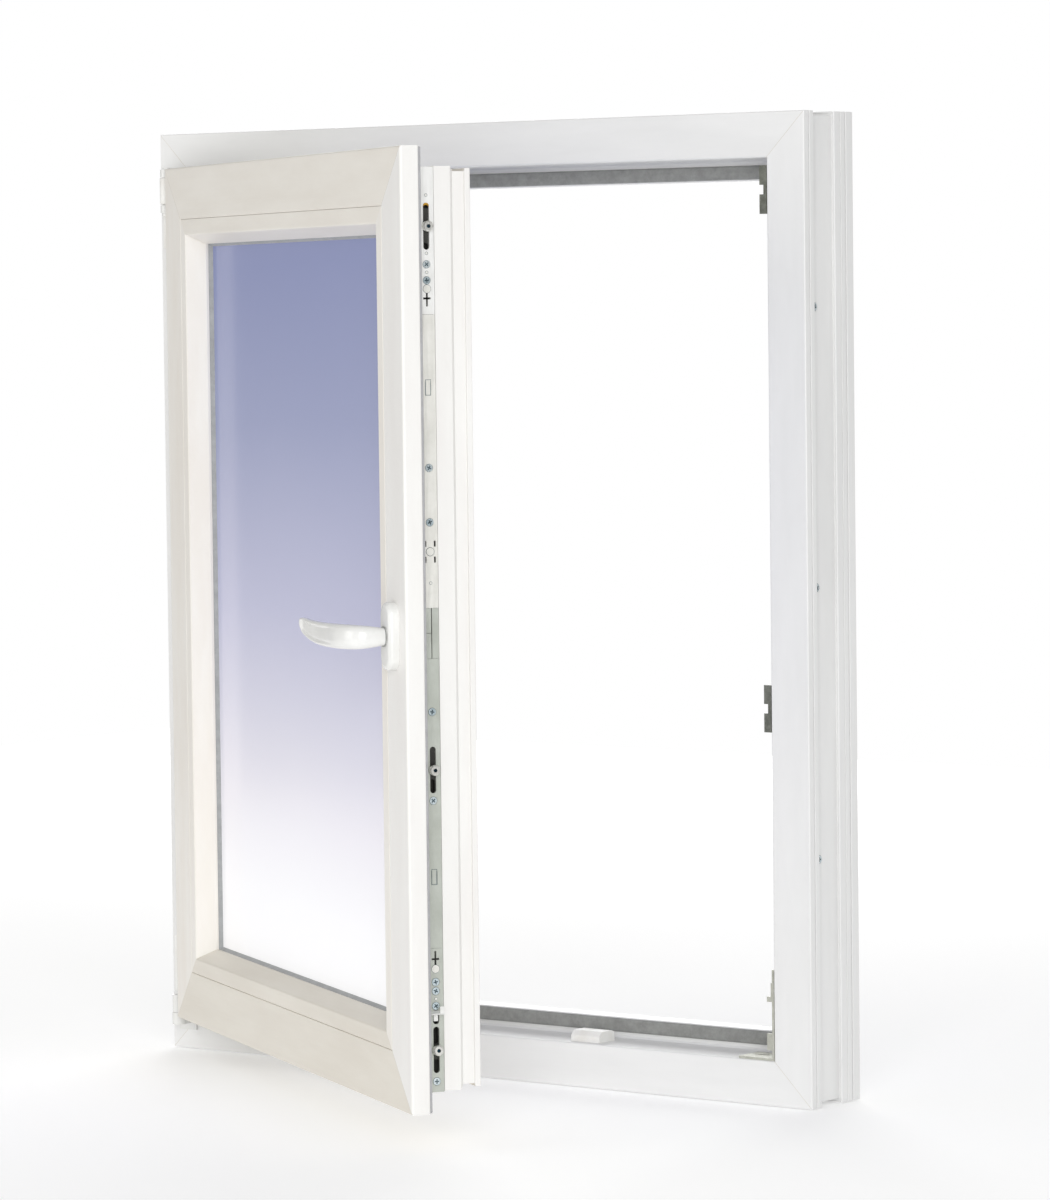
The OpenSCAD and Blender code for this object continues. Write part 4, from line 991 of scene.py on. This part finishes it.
def make_gaskets():
    """The sash's lip seal and the frame's centre seal, each swept over the ring that the CAD seal takes."""
    tree, sockets = gasket_tree()
    rows = [  # name, CAD seal, body, the way along and out, width, height, look, slot, size of the notch
        ("sash_lip_gasket", "overlap_seal", "sash", sash_along, sash_out, 8.2, 3.1,
         "light_seal", "light_seal_rubber", (16, 29, 20)),
        ("frame_centre_gasket", "frame_seal", "frame", RIGHT, -OUTDOORS, 15.0, 4.4,
         "dark_seal", "grey_seal_rubber", None),
    ]
    for name, source, body, along, out, width, height, look, slot, notch in rows:
        verts = [vert.co for vert in nodes[source].data.vertices]
        ways = (along, UP, out)
        lows = [min(vert.dot(way) for vert in verts) for way in ways]
        highs = [max(vert.dot(way) for vert in verts) for way in ways]
        centres = [(low + high) / 2 for low, high in zip(lows, highs)]
        foot = highs[2] - (height + SINK) * MM
        span, rise = (highs[i] - lows[i] - width * MM for i in (0, 1))
        # The sweep stands the profile's height against the path's own up, so it is turned outwards.
        sense = -1 if along.cross(UP).dot(out) > 0 else 1
        values = {
            "Span": span, "Rise": rise, "Seal Width": width * MM, "Seal Height": sense * height * MM,
            "Place": along * centres[0] + UP * centres[1] + out * foot,
            "Direction": Matrix((along, UP, along.cross(UP))).transposed().to_euler(),
            "Notch Size": Vector((MM, MM, MM)), "Rubber": MATERIALS[look]}
        if notch:
            size = Vector(notch) * MM
            values["Notch Size"] = size
            values["Notch Place"] = Vector((-span / 2, NOTCH_FOOT - centres[1] + size.y / 2, 0))
        mesh = run_tree(name, tree, sockets, values, [])
        solid = bmesh.new()
        solid.from_mesh(mesh)
        bmesh.ops.recalc_face_normals(solid, faces=solid.faces)
        solid.to_mesh(mesh)
        solid.free()
        piece(name, mesh, body, None, (source,), 40)


# ---------------------------------------------------------------- weld seams
def seam(built, start, end, normal, width, height):
    """A slim half-round seam from start to end on a face."""
    run = (end - start).normalized()
    side = run.cross(normal).normalized()
    section = [(-0.5, 0.0), (-0.3, 0.8), (0.0, 1.0), (0.3, 0.8), (0.5, 0.0), (0.3, -0.6), (-0.3, -0.6)]
    rings = [[built.verts.new(foot + side * a * width * MM + normal * b * height * MM) for a, b in section]
             for foot in (start, end)]
    lofted(built, rings)


SEAM_SIZE = (0.5, 0.07)  # width and height of a weld's seam in millimetres


def ring_seams(name, body, corner_low, corner_high, along, normal, face, slot):
    """Seams on the four mitres of a ring's face. face is the width of the bar in millimetres."""
    built = bmesh.new()
    span = (corner_high - corner_low).dot(along)
    tall = corner_high.z - corner_low.z
    for right in (0, 1):
        for top in (0, 1):
            corner = corner_low + along * span * right + UP * tall * top
            inwards = along * (1 - 2 * right) + UP * (1 - 2 * top)
            ends = [corner + inwards * reach * MM for reach in (1.2, face - 0.5)]
            seam(built, *ends, normal, *SEAM_SIZE)
    piece(name, mesh_from(name, built), body, "weld", (), 0)


def make_seams():
    low, high = Vector(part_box("frame_sill")[0]), Vector(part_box("frame_head")[1])
    high.y = low.y
    ring_seams("frame_corner_welds", "frame", low, high, RIGHT, -OUTDOORS, 48.0, "frame_upvc")
    ring_seams("sash_corner_welds", "sash", *sash_corner(), sash_along, -sash_out, 58.5, "sash_upvc")


def sash_corner():
    """Lowest hinge-side and highest lock-side corner of the sash's room face."""
    stile = nodes["sash_stile_hinge"].data.vertices
    lock = nodes["sash_stile_lock"].data.vertices
    face = min(vert.co.dot(sash_out) for vert in stile)
    left = min(vert.co.dot(sash_along) for vert in stile)
    right = max(vert.co.dot(sash_along) for vert in lock)
    low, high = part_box("sash_sill")[0].z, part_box("sash_head")[1].z
    corners = [sash_along * reach + sash_out * face for reach in (left, right)]
    return corners[0] + UP * low, corners[1] + UP * high


# ---------------------------------------------------------------- floor
FLOOR_SIZE = 7  # metres
FLOOR_GLOW = 0.24  # keeps the paper under the window nearly white


def make_floor():
    bpy.ops.mesh.primitive_plane_add(size=FLOOR_SIZE, location=(0, 0, cad_box[0].z - MM))
    floor = bpy.context.object
    floor.name = "studio_floor"
    material, tree, shader, place = new_material("pale_studio_floor")
    paper = add(tree, "ShaderNodeTexNoise", {"Vector": place, "Scale": 1.5, "Detail": 3.0})
    tree.links.new(mixed(tree, paper.outputs["Fac"], "#fcfcfc", "#f8f8f8"), shader.inputs["Base Color"])
    shader.inputs["Roughness"].default_value = 0.9
    shader.inputs["Emission Color"].default_value = (1, 1, 1, 1)
    shader.inputs["Emission Strength"].default_value = FLOOR_GLOW
    floor.data.materials.append(material)


set_camera()
set_studio()
make_floor()
dress_cad()
screw_rows()
make_cams()
make_rose()
make_lever()
make_hinge_sleeve()
make_gaskets()
make_studs()
make_stop_insert()
make_punch_marks()
make_lockout_tab()
make_seams()
